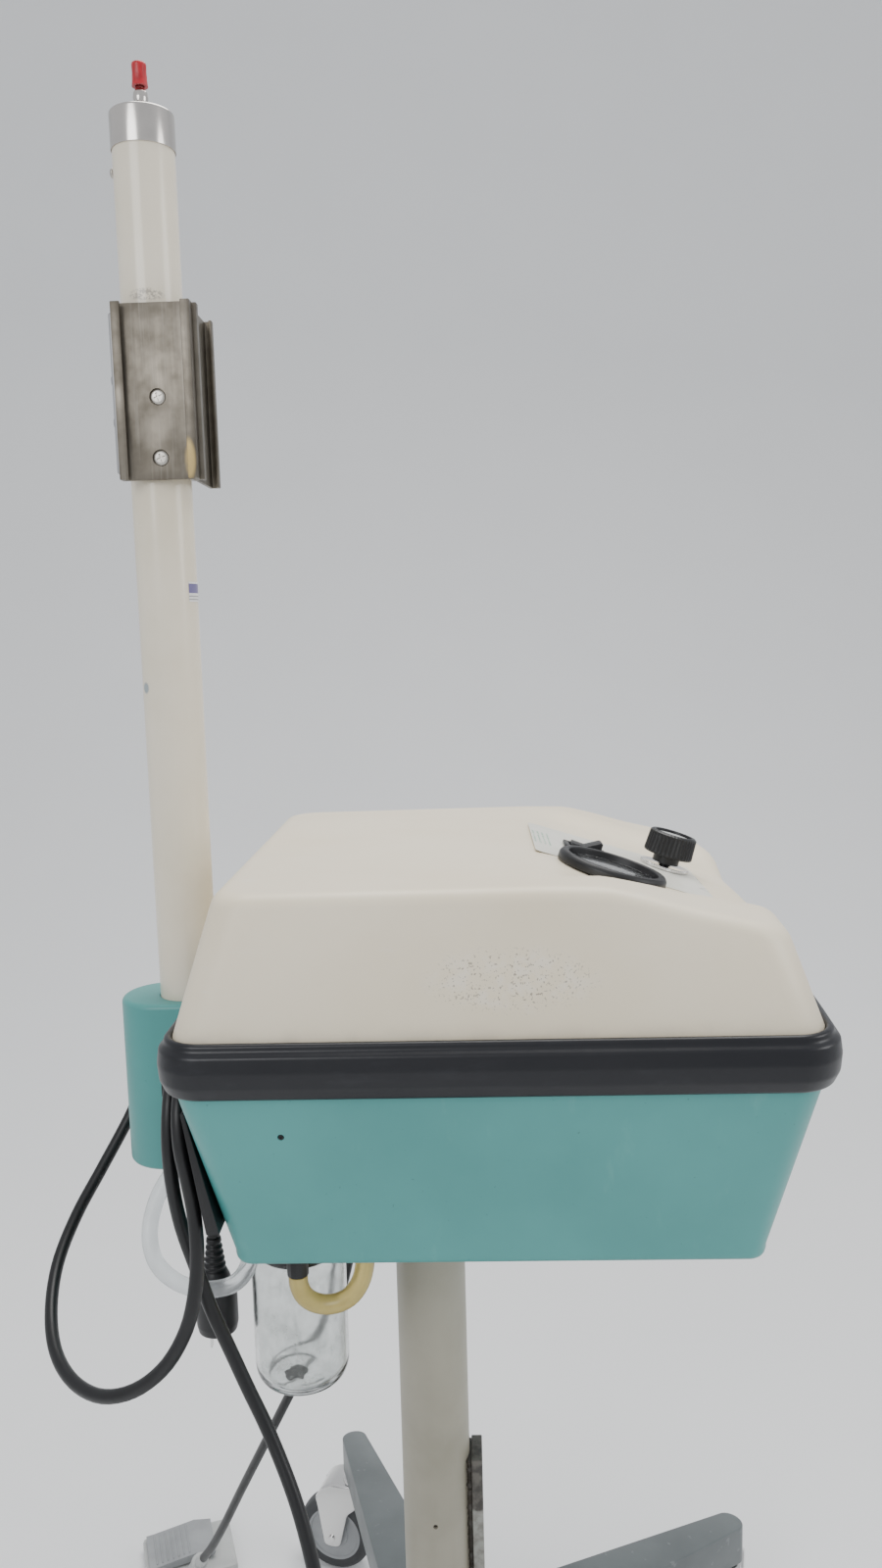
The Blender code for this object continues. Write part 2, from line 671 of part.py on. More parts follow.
def build_caster(index, swivel, trail):
    """A hooded fork on its swivel, trailing one wheel."""
    top = arm_top(SWIVEL_R) - 0.0545 - GAP
    turn = (0, 0, trail)
    width = 0.0210
    crown = 0.0030
    side = [(-0.0170, top - 0.0200), (-0.0150, top - 0.0080), (-0.0090, top), (0.0290, top),
            (0.0420, top - 0.0070), (0.0520, top - 0.0230), (0.0500, top - 0.0300),
            (0.0410, 0.0390), (0.0300, 0.0370), (0.0190, 0.0390), (0.0080, top - 0.0420)]
    fork = plate(f"caster_fork_{index}", side, width, (0, 0, 0), (math.radians(90), 0, 0))
    fork = curve_to_mesh(fork)
    fork.data.transform(Matrix.Rotation(math.radians(90), 4, "X"))
    fork.location = swivel
    fork.rotation_euler = turn
    finish(fork, f"caster_fork_{index}", CHROME, 0.2, 1.0, parent=ROOT)
    well = [(-0.0600, -0.06), (-0.0600, 0.060), (-0.0120, top - 0.0200), (-0.0060, top - 0.0040),
            (0.0300, top - 0.0040), (0.0500, top - 0.0180), (0.0900, top - 0.0250), (0.0900, -0.06)]
    inner = plate(f"fork_well_{index}", well, width - crown, (0, 0, 0), (math.radians(90), 0, 0))
    inner = curve_to_mesh(inner)
    inner.data.transform(Matrix.Rotation(math.radians(90), 4, "X"))
    inner.location = (0, 0, 0)
    inner.rotation_euler = (0, 0, 0)
    inner.parent = fork
    cut(fork, inner)
    axle = turned(f"fork_axle_{index}", disc_profile(0.0045, -0.0235, 0.0235),
                  (WHEEL_TRAIL, 0, WHEEL_R), (math.radians(90), 0, 0), steps=12)
    axle.parent = fork
    cut(fork, axle, "UNION")
    arm = arm_top(SWIVEL_R)
    stem = [(0.0, arm + 0.0062), (0.0095, arm + 0.0050), (0.0095, arm + 0.0024), (0.0054, arm + 0.0024),
            (0.0054, arm - 0.0495), (0.0130, arm - 0.0495), (0.0130, arm - 0.0515), (0.0180, arm - 0.0535),
            (0.0180, top - 0.0010), (0.0, top - 0.0010)]
    stem = turned(f"fork_stem_{index}", stem, steps=16)
    stem.parent = fork
    cut(fork, stem, "UNION")
    tyre = [(0.0052, 0.0130), (0.0180, 0.0130), (0.0190, 0.0105), (0.0340, 0.0105), (0.0360, 0.0135),
            (0.0430, 0.0150), (0.0485, 0.0110), (WHEEL_R, 0.0040), (WHEEL_R, -0.0040), (0.0485, -0.0110),
            (0.0430, -0.0150), (0.0360, -0.0135), (0.0340, -0.0105), (0.0190, -0.0105),
            (0.0180, -0.0130), (0.0052, -0.0130)]
    axle_x = swivel[0] + WHEEL_TRAIL * math.cos(trail)
    axle_y = swivel[1] + WHEEL_TRAIL * math.sin(trail)
    wheel = turned(f"caster_wheel_{index}", tyre, (axle_x, axle_y, WHEEL_R),
                   (math.radians(90), 0, trail), steps=20, closed=True)
    finish(wheel, f"caster_wheel_{index}", (0.16, 0.17, 0.18), 0.6, parent=ROOT)


# ---- pole, outlet and channel bracket ----
def build_pole():
    obj = turned("pole", ring_profile(POLE_R - 0.0020, POLE_R, POLE_LOW, POLE_TOP), (POLE_X, 0, 0),
                 steps=32, closed=True)
    finish(obj, "pole", BEIGE, 0.25, parent=ROOT)
    cap = [(0.0052, 1.6446), (0.0235, 1.6446), (0.0264, 1.6415), (0.0264, 1.6150), (POLE_R + GAP, 1.6150),
           (POLE_R + GAP, 1.6405), (0.0052, 1.6405)]
    obj = turned("pole_cap", cap, (POLE_X, 0, 0), steps=32, closed=True)
    finish(obj, "pole_cap", CHROME, 0.12, 1.0, parent=ROOT)
    hexed = [(0.0, 1.6515), (0.0082, 1.6515), (0.0090, 1.6508), (0.0090, 1.6449), (0.0, 1.6449)]
    obj = turned("outlet_fitting", hexed, (POLE_X, 0, 0), (0, 0, math.radians(15)), steps=6)
    finish(obj, "outlet_fitting", CHROME, 0.2, 1.0, parent=ROOT)
    barb = [(0.0, 1.6780), (0.0026, 1.6780), (0.0036, 1.6730), (0.0030, 1.6725), (0.0036, 1.6672),
            (0.0036, 1.6640), (0.0056, 1.6612), (0.0062, 1.6570), (0.0056, 1.6532), (0.0044, 1.6500),
            (0.0, 1.6500)]
    stem = turned("outlet_barb", barb, (POLE_X, 0, 0), steps=16)
    cut(obj, stem, "UNION")
    head = [(0.0, 0.0030), (0.0026, 0.0030), (0.0042, 0.0014), (0.0042, 0.0004), (0.0, 0.0004)]
    obj = turned("pole_screw", head, (POLE_X - POLE_R, 0, 1.6000), (0, math.radians(-90), 0), steps=12)
    finish(obj, "pole_screw", (0.1, 0.1, 0.1), 0.4, 0.8, parent=ROOT)
    red = [(0.0, 1.6845), (0.0042, 1.6845), (0.0060, 1.6825), (0.0062, 1.6690), (0.0066, 1.6660),
           (0.0040, 1.6660), (0.0040, 1.6800), (0.0, 1.6800)]
    obj = turned("outlet_cap", red, (POLE_X, 0, 0), steps=16)
    finish(obj, "outlet_cap", (0.62, 0.02, 0.03), 0.35, parent=ROOT)


CHANNEL_LOW = 1.3490
CHANNEL_TOP = 1.4890
CHANNEL_X = -0.2020


def channel_outline():
    half, lip, depth, web, edge = 0.0320, 0.0245, 0.0098, 0.0030, 0.0026
    return [(-half, 0), (half, 0), (half, depth), (lip, depth), (lip, depth - edge), (half - 0.0034, depth - edge),
            (half - 0.0034, web), (-half + 0.0034, web), (-half + 0.0034, depth - edge), (-lip, depth - edge),
            (-lip, depth), (-half, depth)]


def build_bracket():
    """A bored block that grips the pole, with one accessory channel on its side and one on its front."""
    mid = (CHANNEL_LOW + CHANNEL_TOP) / 2
    tall = CHANNEL_TOP - CHANNEL_LOW
    block = box("clamp_block", (0.0620, 0.0600, tall - 0.012), (POLE_X + 0.0020, 0, mid), bevel=0.0015)
    finish(block, "clamp_block", STEEL, 0.35, 1.0, parent=ROOT)
    bore = turned("clamp_bore", disc_profile(POLE_R + 0.0004, -0.1, 0.1), (POLE_X, 0, mid), steps=32)
    cut(block, bore)
    slot = box("clamp_slot", (0.020, 0.003, 0.3), (POLE_X - 0.0350, 0, mid))
    cut(block, slot)
    outline = [(x, -y) for x, y in channel_outline()]
    side = plate("channel_side", outline, tall / 2, (CHANNEL_X, -0.0303, mid))
    side = curve_to_mesh(side)
    finish(side, "channel_side", STEEL, 0.4, 1.0, parent=ROOT)
    front = plate("channel_front", outline, tall / 2, (POLE_X + 0.0333, 0.0030, mid), (0, 0, math.radians(90)))
    finish(front, "channel_front", STEEL, 0.4, 1.0, parent=ROOT)
    face = -0.0303 - 0.0030 + 0.0017
    head = [(0.0, 0.0016), (0.0050, 0.0016), (0.0063, 0.0006), (0.0063, 0.0), (0.0, 0.0)]
    for label, z in (("upper", 1.4150), ("lower", 1.3665)):
        screw = turned(f"channel_screw_{label}", head, (CHANNEL_X + 0.0010, face, z), (math.radians(90), 0, 0),
                       steps=16)
        finish(screw, f"channel_screw_{label}", (0.5, 0.48, 0.45), 0.35, 1.0, parent=ROOT)
        recess = turned(f"screw_recess_{label}", disc_profile(0.0068, -GAP, 0.0100),
                        (CHANNEL_X + 0.0010, face, z), (math.radians(90), 0, 0), steps=24)
        cut(side, recess)
    knob = [(0.0, 0.0035), (0.0040, 0.0035), (0.0048, 0.0025), (0.0048, -0.0030), (0.0, -0.0030)]
    for z in (1.3980, 1.4320):
        for y in (-0.016, 0.016):
            bolt = turned("clamp_bolt", knob, (POLE_X - 0.0290, y, z), (0, math.radians(-90), 0), steps=12)
            cut(block, bolt, "UNION")


# ---- trap jar ----
def build_jar():
    glass = [(0.0, JAR_BASE_Z), (0.0260, JAR_BASE_Z), (0.0365, JAR_BASE_Z + 0.004), (JAR_R, JAR_BASE_Z + 0.014),
             (JAR_R, JAR_TOP_Z - 0.018), (0.0360, JAR_TOP_Z - 0.006), (0.0360, JAR_TOP_Z),
             (0.0330, JAR_TOP_Z), (0.0330, JAR_TOP_Z - 0.007), (JAR_R - 0.003, JAR_TOP_Z - 0.019),
             (JAR_R - 0.003, JAR_BASE_Z + 0.016), (0.0340, JAR_BASE_Z + 0.008), (0.0, JAR_BASE_Z + 0.006)]
    obj = turned("jar", list(reversed(glass)), (JAR_X, JAR_Y, 0), steps=32)
    finish(obj, "jar", (0.9, 0.93, 0.92), 0.03, transmission=0.95, parent=ROOT)
    top = JAR_TOP_Z + 0.0320
    lid = [(0.0, top), (0.0300, top), (0.0410, top - 0.003), (0.0410, JAR_TOP_Z + 0.0010),
           (0.0325, JAR_TOP_Z + 0.0010), (0.0322, JAR_TOP_Z - 0.0060), (0.0, JAR_TOP_Z - 0.0060)]
    obj = turned("jar_lid", lid, (JAR_X, JAR_Y, 0), steps=32)
    finish(obj, "jar_lid", BLACK, 0.4, parent=ROOT)
    foot = BOX_BASE_Z - GAP
    post = box("jar_post", (0.030, 0.024, 0.0300), (JAR_X, JAR_Y, foot - 0.0150))
    cut(obj, post, "UNION")
    arm = box("jar_hanger", (0.095, 0.046, 0.0030), (JAR_X + 0.030, JAR_Y, foot - 0.0015))
    cut(obj, arm, "UNION")


def build_jar_fittings():
    """Two black elbows moulded on the lid's top, one facing each hose."""
    low = JAR_TOP_Z + 0.0320 - 0.0010
    routes = (
        [(-0.1035, -0.0840, low), (-0.1035, -0.0860, low + 0.0090), (-0.1035, -0.0960, low + 0.0135),
         (-0.1035, -0.1080, low + 0.0120), (-0.1035, -0.1145, low + 0.0030), (-0.1035, -0.1155, 0.7080)],
        [(-0.1290, -0.0790, low), (-0.1290, -0.0800, low + 0.0080), (-0.1340, -0.0850, low + 0.0130),
         (-0.1410, -0.0915, low + 0.0110), (-0.1445, -0.0950, low + 0.0040), (-0.1450, -0.0955, 0.7250)],
    )
    lid = PART.objects["jar_lid"]
    for route in routes:
        elbow = cord("jar_elbow", route, 0.0042, 0.006)
        cut(lid, curve_to_mesh(elbow), "UNION")
    nut = turned("jar_hose_nut", disc_profile(0.0090, 0.6995, 0.7175, 0.001), (-0.1035, -0.1155, 0), steps=12)
    cut(lid, nut, "UNION")


# ---- cords and hoses: route points ----
PLUG = (-0.1905, -0.0400, 0.6914)
MAINS_PORT = (-0.1650, 0.0760, 0.8560)
GAS_PORT = (-0.1440, -0.0620, 0.7760)
FOOT_PORT = (-0.0720, 0.1000)
YELLOW_PORT = (-0.0500, -0.1150)
FOOT_END = (-0.3100, 0.3050, 0.0780)
COIL = (0.0880, -0.2350)

MAINS_ROUTE = (
    (-0.1969, 0.0760, 0.8560), (-0.2160, 0.0760, 0.8556), (-0.2450, 0.0737, 0.8410),
    (-0.2700, 0.0640, 0.8030), (-0.2883, 0.0480, 0.7640), (-0.3080, 0.0220, 0.7270),
    (-0.3240, -0.0080, 0.6960), (-0.3300, -0.0450, 0.6700), (-0.3230, -0.0850, 0.6490),
    (-0.3055, -0.1240, 0.6360), (-0.2802, -0.1550, 0.6310), (-0.2500, -0.1780, 0.6350),
    (-0.2210, -0.1890, 0.6475), (-0.1950, -0.1940, 0.6700), (-0.1770, -0.1950, 0.7000),
    (-0.1685, -0.1950, 0.7303), (-0.1655, -0.1930, 0.7613), (-0.1670, -0.1900, 0.7902),
    (-0.1710, -0.1885, 0.8164), (-0.1755, -0.1870, 0.8420), (-0.1775, -0.1790, 0.8680),
    (-0.1775, -0.1620, 0.8850), (-0.1775, -0.1420, 0.8885), (-0.1775, -0.1210, 0.8800),
    (-0.1785, -0.1060, 0.8570), (-0.1805, -0.0990, 0.8250), (-0.1832, -0.0890, 0.7950),
    (-0.1862, -0.0720, 0.7660), (-0.1887, -0.0540, 0.7420), (-0.1903, -0.0420, 0.7220),
    (-0.1905, -0.0400, 0.7050), (-0.1905, -0.0400, 0.6920),
)
HOSE_ROUTE = (
    (-0.1595, -0.0620, 0.7760), (-0.1750, -0.0620, 0.7790), (-0.1860, -0.0620, 0.7920),
    (-0.1905, -0.0630, 0.8120), (-0.1910, -0.0670, 0.8380), (-0.1908, -0.0780, 0.8650),
    (-0.1906, -0.0980, 0.8840), (-0.1905, -0.1210, 0.8878), (-0.1905, -0.1440, 0.8795),
    (-0.1905, -0.1590, 0.8580), (-0.1905, -0.1650, 0.8300), (-0.1890, -0.1650, 0.8000),
    (-0.1840, -0.1650, 0.7680), (-0.1750, -0.1650, 0.7360), (-0.1640, -0.1660, 0.7000),
    (-0.1504, -0.1680, 0.6670), (-0.1370, -0.1720, 0.6370), (-0.1209, -0.1790, 0.6050),
    (-0.0976, -0.2000, 0.5590), (-0.0800, -0.2220, 0.5050), (-0.0660, -0.2400, 0.4300),
    (-0.0540, -0.2540, 0.3400), (-0.0430, -0.2640, 0.2400), (-0.0310, -0.2720, 0.1500),
    (-0.0150, -0.2800, 0.0780), (0.0080, -0.2880, 0.0300), (0.0330, -0.2975, 0.0085),
    (0.0470, -0.3050, 0.0058),
)
FOOT_ROUTE = (
    (-0.0720, 0.1000, 0.7160), (-0.0740, 0.1000, 0.6880), (-0.0820, 0.1010, 0.6200),
    (-0.0990, 0.1040, 0.5500), (-0.1300, 0.1150, 0.4830), (-0.1645, 0.1400, 0.4090),
    (-0.1950, 0.1680, 0.3400), (-0.2350, 0.2100, 0.2480), (-0.2700, 0.2500, 0.1650),
    (-0.2935, 0.2800, 0.1120), FOOT_END,
)
CLEAR_ROUTE = (
    (-0.2100, 0.0000, 0.7772), (-0.2112, 0.0000, 0.7680), (-0.2220, -0.0020, 0.7500),
    (-0.2370, -0.0080, 0.7320), (-0.2475, -0.0170, 0.7120), (-0.2505, -0.0300, 0.6890),
    (-0.2430, -0.0430, 0.6710), (-0.2260, -0.0550, 0.6610), (-0.2020, -0.0680, 0.6590),
    (-0.1780, -0.0800, 0.6660), (-0.1600, -0.0920, 0.6790), (-0.1490, -0.0985, 0.6950),
    (-0.1450, -0.0975, 0.7110), (-0.1450, -0.0957, 0.7247),
)
YELLOW_ROUTE = (
    (-0.1035, -0.1155, 0.6982), (-0.1031, -0.1156, 0.6900), (-0.0990, -0.1160, 0.6805),
    (-0.0895, -0.1168, 0.6745), (-0.0760, -0.1172, 0.6735), (-0.0620, -0.1172, 0.6795),
    (-0.0520, -0.1165, 0.6930),
    (-0.0480, -0.1155, 0.7110), (-0.0497, -0.1150, 0.7245), (-0.0500, -0.1150, 0.7344),
)


def build_cords():
    for name, route, radius, spacing, color in (
        ("mains_cord", MAINS_ROUTE, CORD_R, 0.0265, BLACK),
        ("gas_hose", HOSE_ROUTE, CORD_R, 0.0265, BLACK),
        ("foot_lead", FOOT_ROUTE, 0.0050, 0.0250, BLACK),
        ("clear_tube", CLEAR_ROUTE, CLEAR_R, 0.0150, (0.85, 0.86, 0.88)),
        ("yellow_tube", YELLOW_ROUTE, YELLOW_R, 0.0120, (0.75, 0.62, 0.28)),
    ):
        obj = cord(name, route, radius, spacing)
        clear = name.endswith("tube")
        finish(obj, name, color, 0.2 if clear else 0.5, transmission=0.8 if clear else 0.0, parent=ROOT)
    ring = [(0.0745, 0.0200), (0.0745, 0.0030), (0.0717, 0.0002), (0.0533, 0.0002), (0.0505, 0.0030),
            (0.0505, 0.0200), (0.0533, 0.0228), (0.0717, 0.0228)]
    obj = turned("gas_hose_coil", ring, (*COIL, 0), steps=32, closed=True)
    finish(obj, "gas_hose_coil", BLACK, 0.5, parent=ROOT)


def build_cord_fittings():
    """Barbs, glands, plug, connector and hook."""
    quarter = math.radians(-90)
    wall_turn = (0, quarter, 0)
    down = (math.radians(180), 0, 0)
    barb = [(0.0, 0.0130), (0.0040, 0.0130), (0.0050, 0.0110), (0.0042, 0.0105), (0.0042, 0.0060),
            (0.0095, 0.0056), (0.0095, 0.0040), (0.0045, 0.0036), (0.0045, -0.0140), (0.0, -0.0140)]
    for name, place, turn in (("gas_barb", GAS_PORT, wall_turn),
                              ("suction_barb", (*YELLOW_PORT, BOX_BASE_Z), down)):
        obj = turned(name, barb, place, turn, steps=16)
        finish(obj, name, (0.72, 0.56, 0.28), 0.3, 1.0, parent=ROOT)
    foot = [(0.0, 0.8200), (0.0232, 0.8200), (0.0232, 0.8000), (0.0080, 0.7990), (0.0050, 0.7900),
            (0.0050, 0.7788), (0.0, 0.7788)]
    obj = turned("pole_foot_fitting", foot, (POLE_X, 0, 0), steps=16)
    finish(obj, "pole_foot_fitting", (0.72, 0.56, 0.28), 0.3, 1.0, parent=ROOT)
    relief = [(0.0, 0.0312), (0.0064, 0.0312), (0.0090, 0.0100), (0.0125, 0.0092), (0.0125, 0.0040),
              (0.0078, 0.0036), (0.0078, -0.0120), (0.0, -0.0120)]
    for name, place, turn in (("mains_gland", MAINS_PORT, wall_turn),
                              ("foot_gland", (*FOOT_PORT, BOX_BASE_Z), down)):
        obj = turned(name, relief, place, turn, steps=16)
        finish(obj, name, (0.03, 0.03, 0.03), 0.5, parent=ROOT)
    x, y, z = PLUG
    body = [(0.0, 0.0), (0.0064, 0.0), (0.0095, -0.0180), (0.0130, -0.0360), (0.0150, -0.0450),
            (0.0185, -0.0470), (0.0185, -0.0800), (0.0170, -0.0870), (0.0, -0.0870)]
    plug = turned("mains_plug", body, PLUG, steps=24)
    finish(plug, "mains_plug", BLACK, 0.45, parent=ROOT)
    for k, (dx, dy) in enumerate(((-0.0064, 0.0), (0.0064, 0.0))):
        prong = box(f"plug_prong_{k}", (0.0016, 0.0063, 0.0200), (x + dx, y + dy, z - 0.0945))
        cut(plug, prong, "UNION")
    pin = turned("plug_pin", disc_profile(0.0024, -0.1060, -0.0800), (x, y + 0.0110, z), steps=12)
    cut(plug, pin, "UNION")
    coupler = [(0.0, 0.0), (0.0060, 0.0), (0.0060, 0.0060), (0.0085, 0.0065), (0.0085, 0.0160),
               (0.0070, 0.0170), (0.0070, 0.0320), (0.0090, 0.0330), (0.0090, 0.0430), (0.0, 0.0430)]
    a = math.radians(60)
    reach = 0.0745 + 0.0060 + 0.0034
    place = (COIL[0] + reach * math.cos(a), COIL[1] + reach * math.sin(a), 0.0094)
    obj = turned("hose_connector", list(reversed(coupler)), place, (math.radians(90), 0, a + math.pi), steps=16)
    finish(obj, "hose_connector", (0.72, 0.56, 0.28), 0.3, 1.0, parent=ROOT)
    build_hook()


def rear_wall_x(z):
    run = (SKIRT_LOW_Z - z) / (SKIRT_LOW_Z - BOX_BASE_Z - 0.010)
    return RIM[0] + (FLOOR_RIM[0] - RIM[0]) * run


def build_hook():
    low, high = 0.7800, 0.8740
    lift = 0.0010
    side = [(rear_wall_x(low) - lift, low), (rear_wall_x(high) - lift, high),
            (rear_wall_x(high) - 0.0040, high), (rear_wall_x(low) - 0.0110, low)]
    hook = plate("cord_hook", side, 0.0490, (0, -0.1520, 0), (math.radians(90), 0, 0))
    hook = curve_to_mesh(hook)
    finish(hook, "cord_hook", BLACK, 0.5, parent=ROOT)
    arm = box("hook_arm", (0.0310, 0.0190, 0.0060), (-0.1842, -0.1335, 0.8672))
    cut(hook, arm, "UNION")
    lip = box("hook_lip", (0.0030, 0.0190, 0.0225), (-0.1982, -0.1335, 0.8755))
    cut(hook, lip, "UNION")


def build_footswitch():
    """A low plastic foot switch: base, sprung pedal hinged at its back edge, slanted gland."""
    x, y = -0.3500, 0.3850
    turn = math.radians(20)
    base = box("footswitch_base", (0.1150, 0.0880, 0.0180), (x, y, 0.0093), (0, 0, turn), 0.004)
    finish(base, "footswitch_base", (0.62, 0.63, 0.62), 0.5, parent=ROOT)
    hinge = Matrix.Translation(Vector((x, y, 0.0225))) @ Matrix.Rotation(turn, 4, "Z")
    back = hinge @ Vector((-0.0500, 0.0060, 0.0))
    side = [(-0.0030, -0.0036), (0.0060, -0.0038), (0.0800, 0.0020), (0.0820, 0.0060), (0.0600, 0.0105),
            (0.0060, 0.0040), (-0.0030, 0.0036)]
    pedal = plate("footswitch_pedal", side, 0.0300)
    pedal = curve_to_mesh(pedal)
    pedal.data.transform(Matrix.Rotation(math.radians(90), 4, "X"))
    pedal.location = back
    pedal.rotation_euler = (0, 0, turn)
    finish(pedal, "footswitch_pedal", (0.45, 0.46, 0.46), 0.5, parent=ROOT)
    end = Vector(FOOT_END)
    lead = (Vector(FOOT_ROUTE[-2]) - end).normalized()
    turn_to = lead.to_track_quat("Z", "Y").to_euler()
    gland = [(0.0, -0.0004), (0.0058, -0.0004), (0.0075, -0.0200), (0.0105, -0.0205), (0.0105, -0.0300),
             (0.0085, -0.0305), (0.0085, -0.0860), (0.0, -0.0860)]
    obj = turned("footswitch_gland", gland, end, turn_to, steps=12)
    obj.parent = None
    cut(base, obj, "UNION")
    obj.parent = ROOT


build_housing()
build_gauge()
build_knob()
build_switch()
build_inside()
build_column()
build_base()
build_casters()
build_pole()
build_bracket()
build_jar()
build_jar_fittings()
build_cords()
build_cord_fittings()
build_footswitch()
for item in PART.objects:
    if item.type == "CURVE" and item.parent is None:
        item.parent = ROOT
print("nodes", len([o for o in PART.objects if o.type != "EMPTY"]))
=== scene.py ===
# %% [markdown]
# # A mobile gas unit on a caster stand
# The unit is a two-part plastic housing on a steel column, with a tall pole behind it.
# The measured frame gives every place; this script only makes the surfaces that are seen.
# Round parts are turned again with more facets, moulded parts are lofted again with softer edges,
# and each finish is built from nodes, so that it can be changed in one place.

# %% The frame
import math

import bmesh
import bpy
from mathutils import Matrix, Vector, noise


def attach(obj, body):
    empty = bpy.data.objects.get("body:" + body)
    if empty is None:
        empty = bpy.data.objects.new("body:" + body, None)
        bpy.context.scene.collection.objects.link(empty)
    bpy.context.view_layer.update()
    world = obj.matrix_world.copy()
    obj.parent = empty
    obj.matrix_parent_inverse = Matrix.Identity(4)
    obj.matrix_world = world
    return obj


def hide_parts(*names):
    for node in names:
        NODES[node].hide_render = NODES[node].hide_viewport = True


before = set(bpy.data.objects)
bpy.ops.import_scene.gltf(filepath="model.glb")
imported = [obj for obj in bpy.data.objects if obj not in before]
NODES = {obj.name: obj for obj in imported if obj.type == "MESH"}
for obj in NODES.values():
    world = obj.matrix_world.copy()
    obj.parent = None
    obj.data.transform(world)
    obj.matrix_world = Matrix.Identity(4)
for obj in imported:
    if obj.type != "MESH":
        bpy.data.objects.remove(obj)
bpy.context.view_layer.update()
COLUMN_X = 0.050

# %% [markdown]
# ## The viewpoint
# The camera stands at chest height to the side of the unit, a metre away, so the pole leans in the
# view as it does to the eye. It looks a little down and is rolled by a degree and a half.

# %% Camera
EYE = Vector((COLUMN_X + 0.051, -1.0136, 1.22))
YAW, PITCH, ROLL = (math.radians(a) for a in (-1.702, 7.4464, 1.4697))
forward = Vector((math.sin(YAW) * math.cos(PITCH), math.cos(YAW) * math.cos(PITCH), -math.sin(PITCH)))
level = forward.cross(Vector((0, 0, 1))).normalized()
rise = level.cross(forward)
right = level * math.cos(ROLL) - rise * math.sin(ROLL)
up = level * math.sin(ROLL) + rise * math.cos(ROLL)
camera = bpy.data.objects.new("camera", bpy.data.cameras.new("camera"))
bpy.context.scene.collection.objects.link(camera)
camera.matrix_world = Matrix.Translation(EYE) @ Matrix((right, up, -forward)).transposed().to_4x4()
camera.data.sensor_fit = "VERTICAL"
camera.data.sensor_height = 36.0
camera.data.lens = 26.88
camera.data.clip_end = 60.0
bpy.context.scene.camera = camera
print("camera at", tuple(round(v, 3) for v in EYE))

# %% [markdown]
# ## Words for finishes
# A finish is a small sum: a base colour, plus dirt, minus wear. One class wraps a socket so the sum
# can be written as arithmetic, and one method adds any other node. Colours go through Mix nodes.

# %% Socket arithmetic
class Sock:
    """A shader or geometry socket that takes part in plain arithmetic."""

    def __init__(self, graph, socket):
        self.graph = graph
        self.socket = socket

    def sum(self, operation, *values, **settings):
        return self.graph.node("ShaderNodeMath", values, operation=operation, **settings)

    def __add__(self, other):
        return self.sum("ADD", self, other)

    def __radd__(self, other):
        return self.sum("ADD", other, self)

    def __sub__(self, other):
        return self.sum("SUBTRACT", self, other)

    def __rsub__(self, other):
        return self.sum("SUBTRACT", other, self)

    def __mul__(self, other):
        return self.sum("MULTIPLY", self, other)

    def __rmul__(self, other):
        return self.sum("MULTIPLY", other, self)

    def __truediv__(self, other):
        return self.sum("DIVIDE", self, other)

    def apart(self, value):
        """How far this is from a value, whichever side it lies on."""
        gap = self - value
        return gap.sum("ABSOLUTE", gap)

    def clamp(self):
        return self.sum("ADD", self, 0.0, use_clamp=True)

    def ease(self, low, high):
        """0 below low, 1 above high, and a smooth step between them."""
        return self.graph.node("ShaderNodeMapRange", {"Value": self, "From Min": low, "From Max": high},
                               interpolation_type="SMOOTHSTEP")


class Graph:
    """A node tree with one way to add a node and short names for the common ones."""

    def __init__(self, tree):
        self.tree = tree

    def node(self, kind, values=(), out=0, stops=None, **settings):
        made = self.tree.nodes.new(kind)
        for key, value in settings.items():
            setattr(made, key, value)
        if stops:
            ramp = made.color_ramp
            while len(ramp.elements) < len(stops):
                ramp.elements.new(0.5)
            for element, (place, shade) in zip(ramp.elements, stops):
                element.position = place
                element.color = (*shade, 1.0) if hasattr(shade, "__len__") else (shade, shade, shade, 1.0)
        items = values.items() if isinstance(values, dict) else enumerate(values)
        for key, value in items:
            if isinstance(value, Sock):
                self.tree.links.new(value.socket, made.inputs[key])
            else:
                made.inputs[key].default_value = value
        return Sock(self, made.outputs[out])

    def mix(self, factor, first, second, blend="MIX"):
        return self.node("ShaderNodeMix", {0: factor, 6: paint(first), 7: paint(second)}, 2,
                         data_type="RGBA", blend_type=blend)


def paint(colour):
    """A colour as its socket wants it, with an alpha of 1. Anything else passes through."""
    return (*colour, 1.0) if isinstance(colour, tuple) and len(colour) == 3 else colour


print("sockets can be added, subtracted, multiplied and divided")

# %% [markdown]
# Each finish starts from one Principled shader. Fixed values are set on its own sockets; only what
# changes over the surface is linked. Patterns are laid out in metres on Object coordinates.

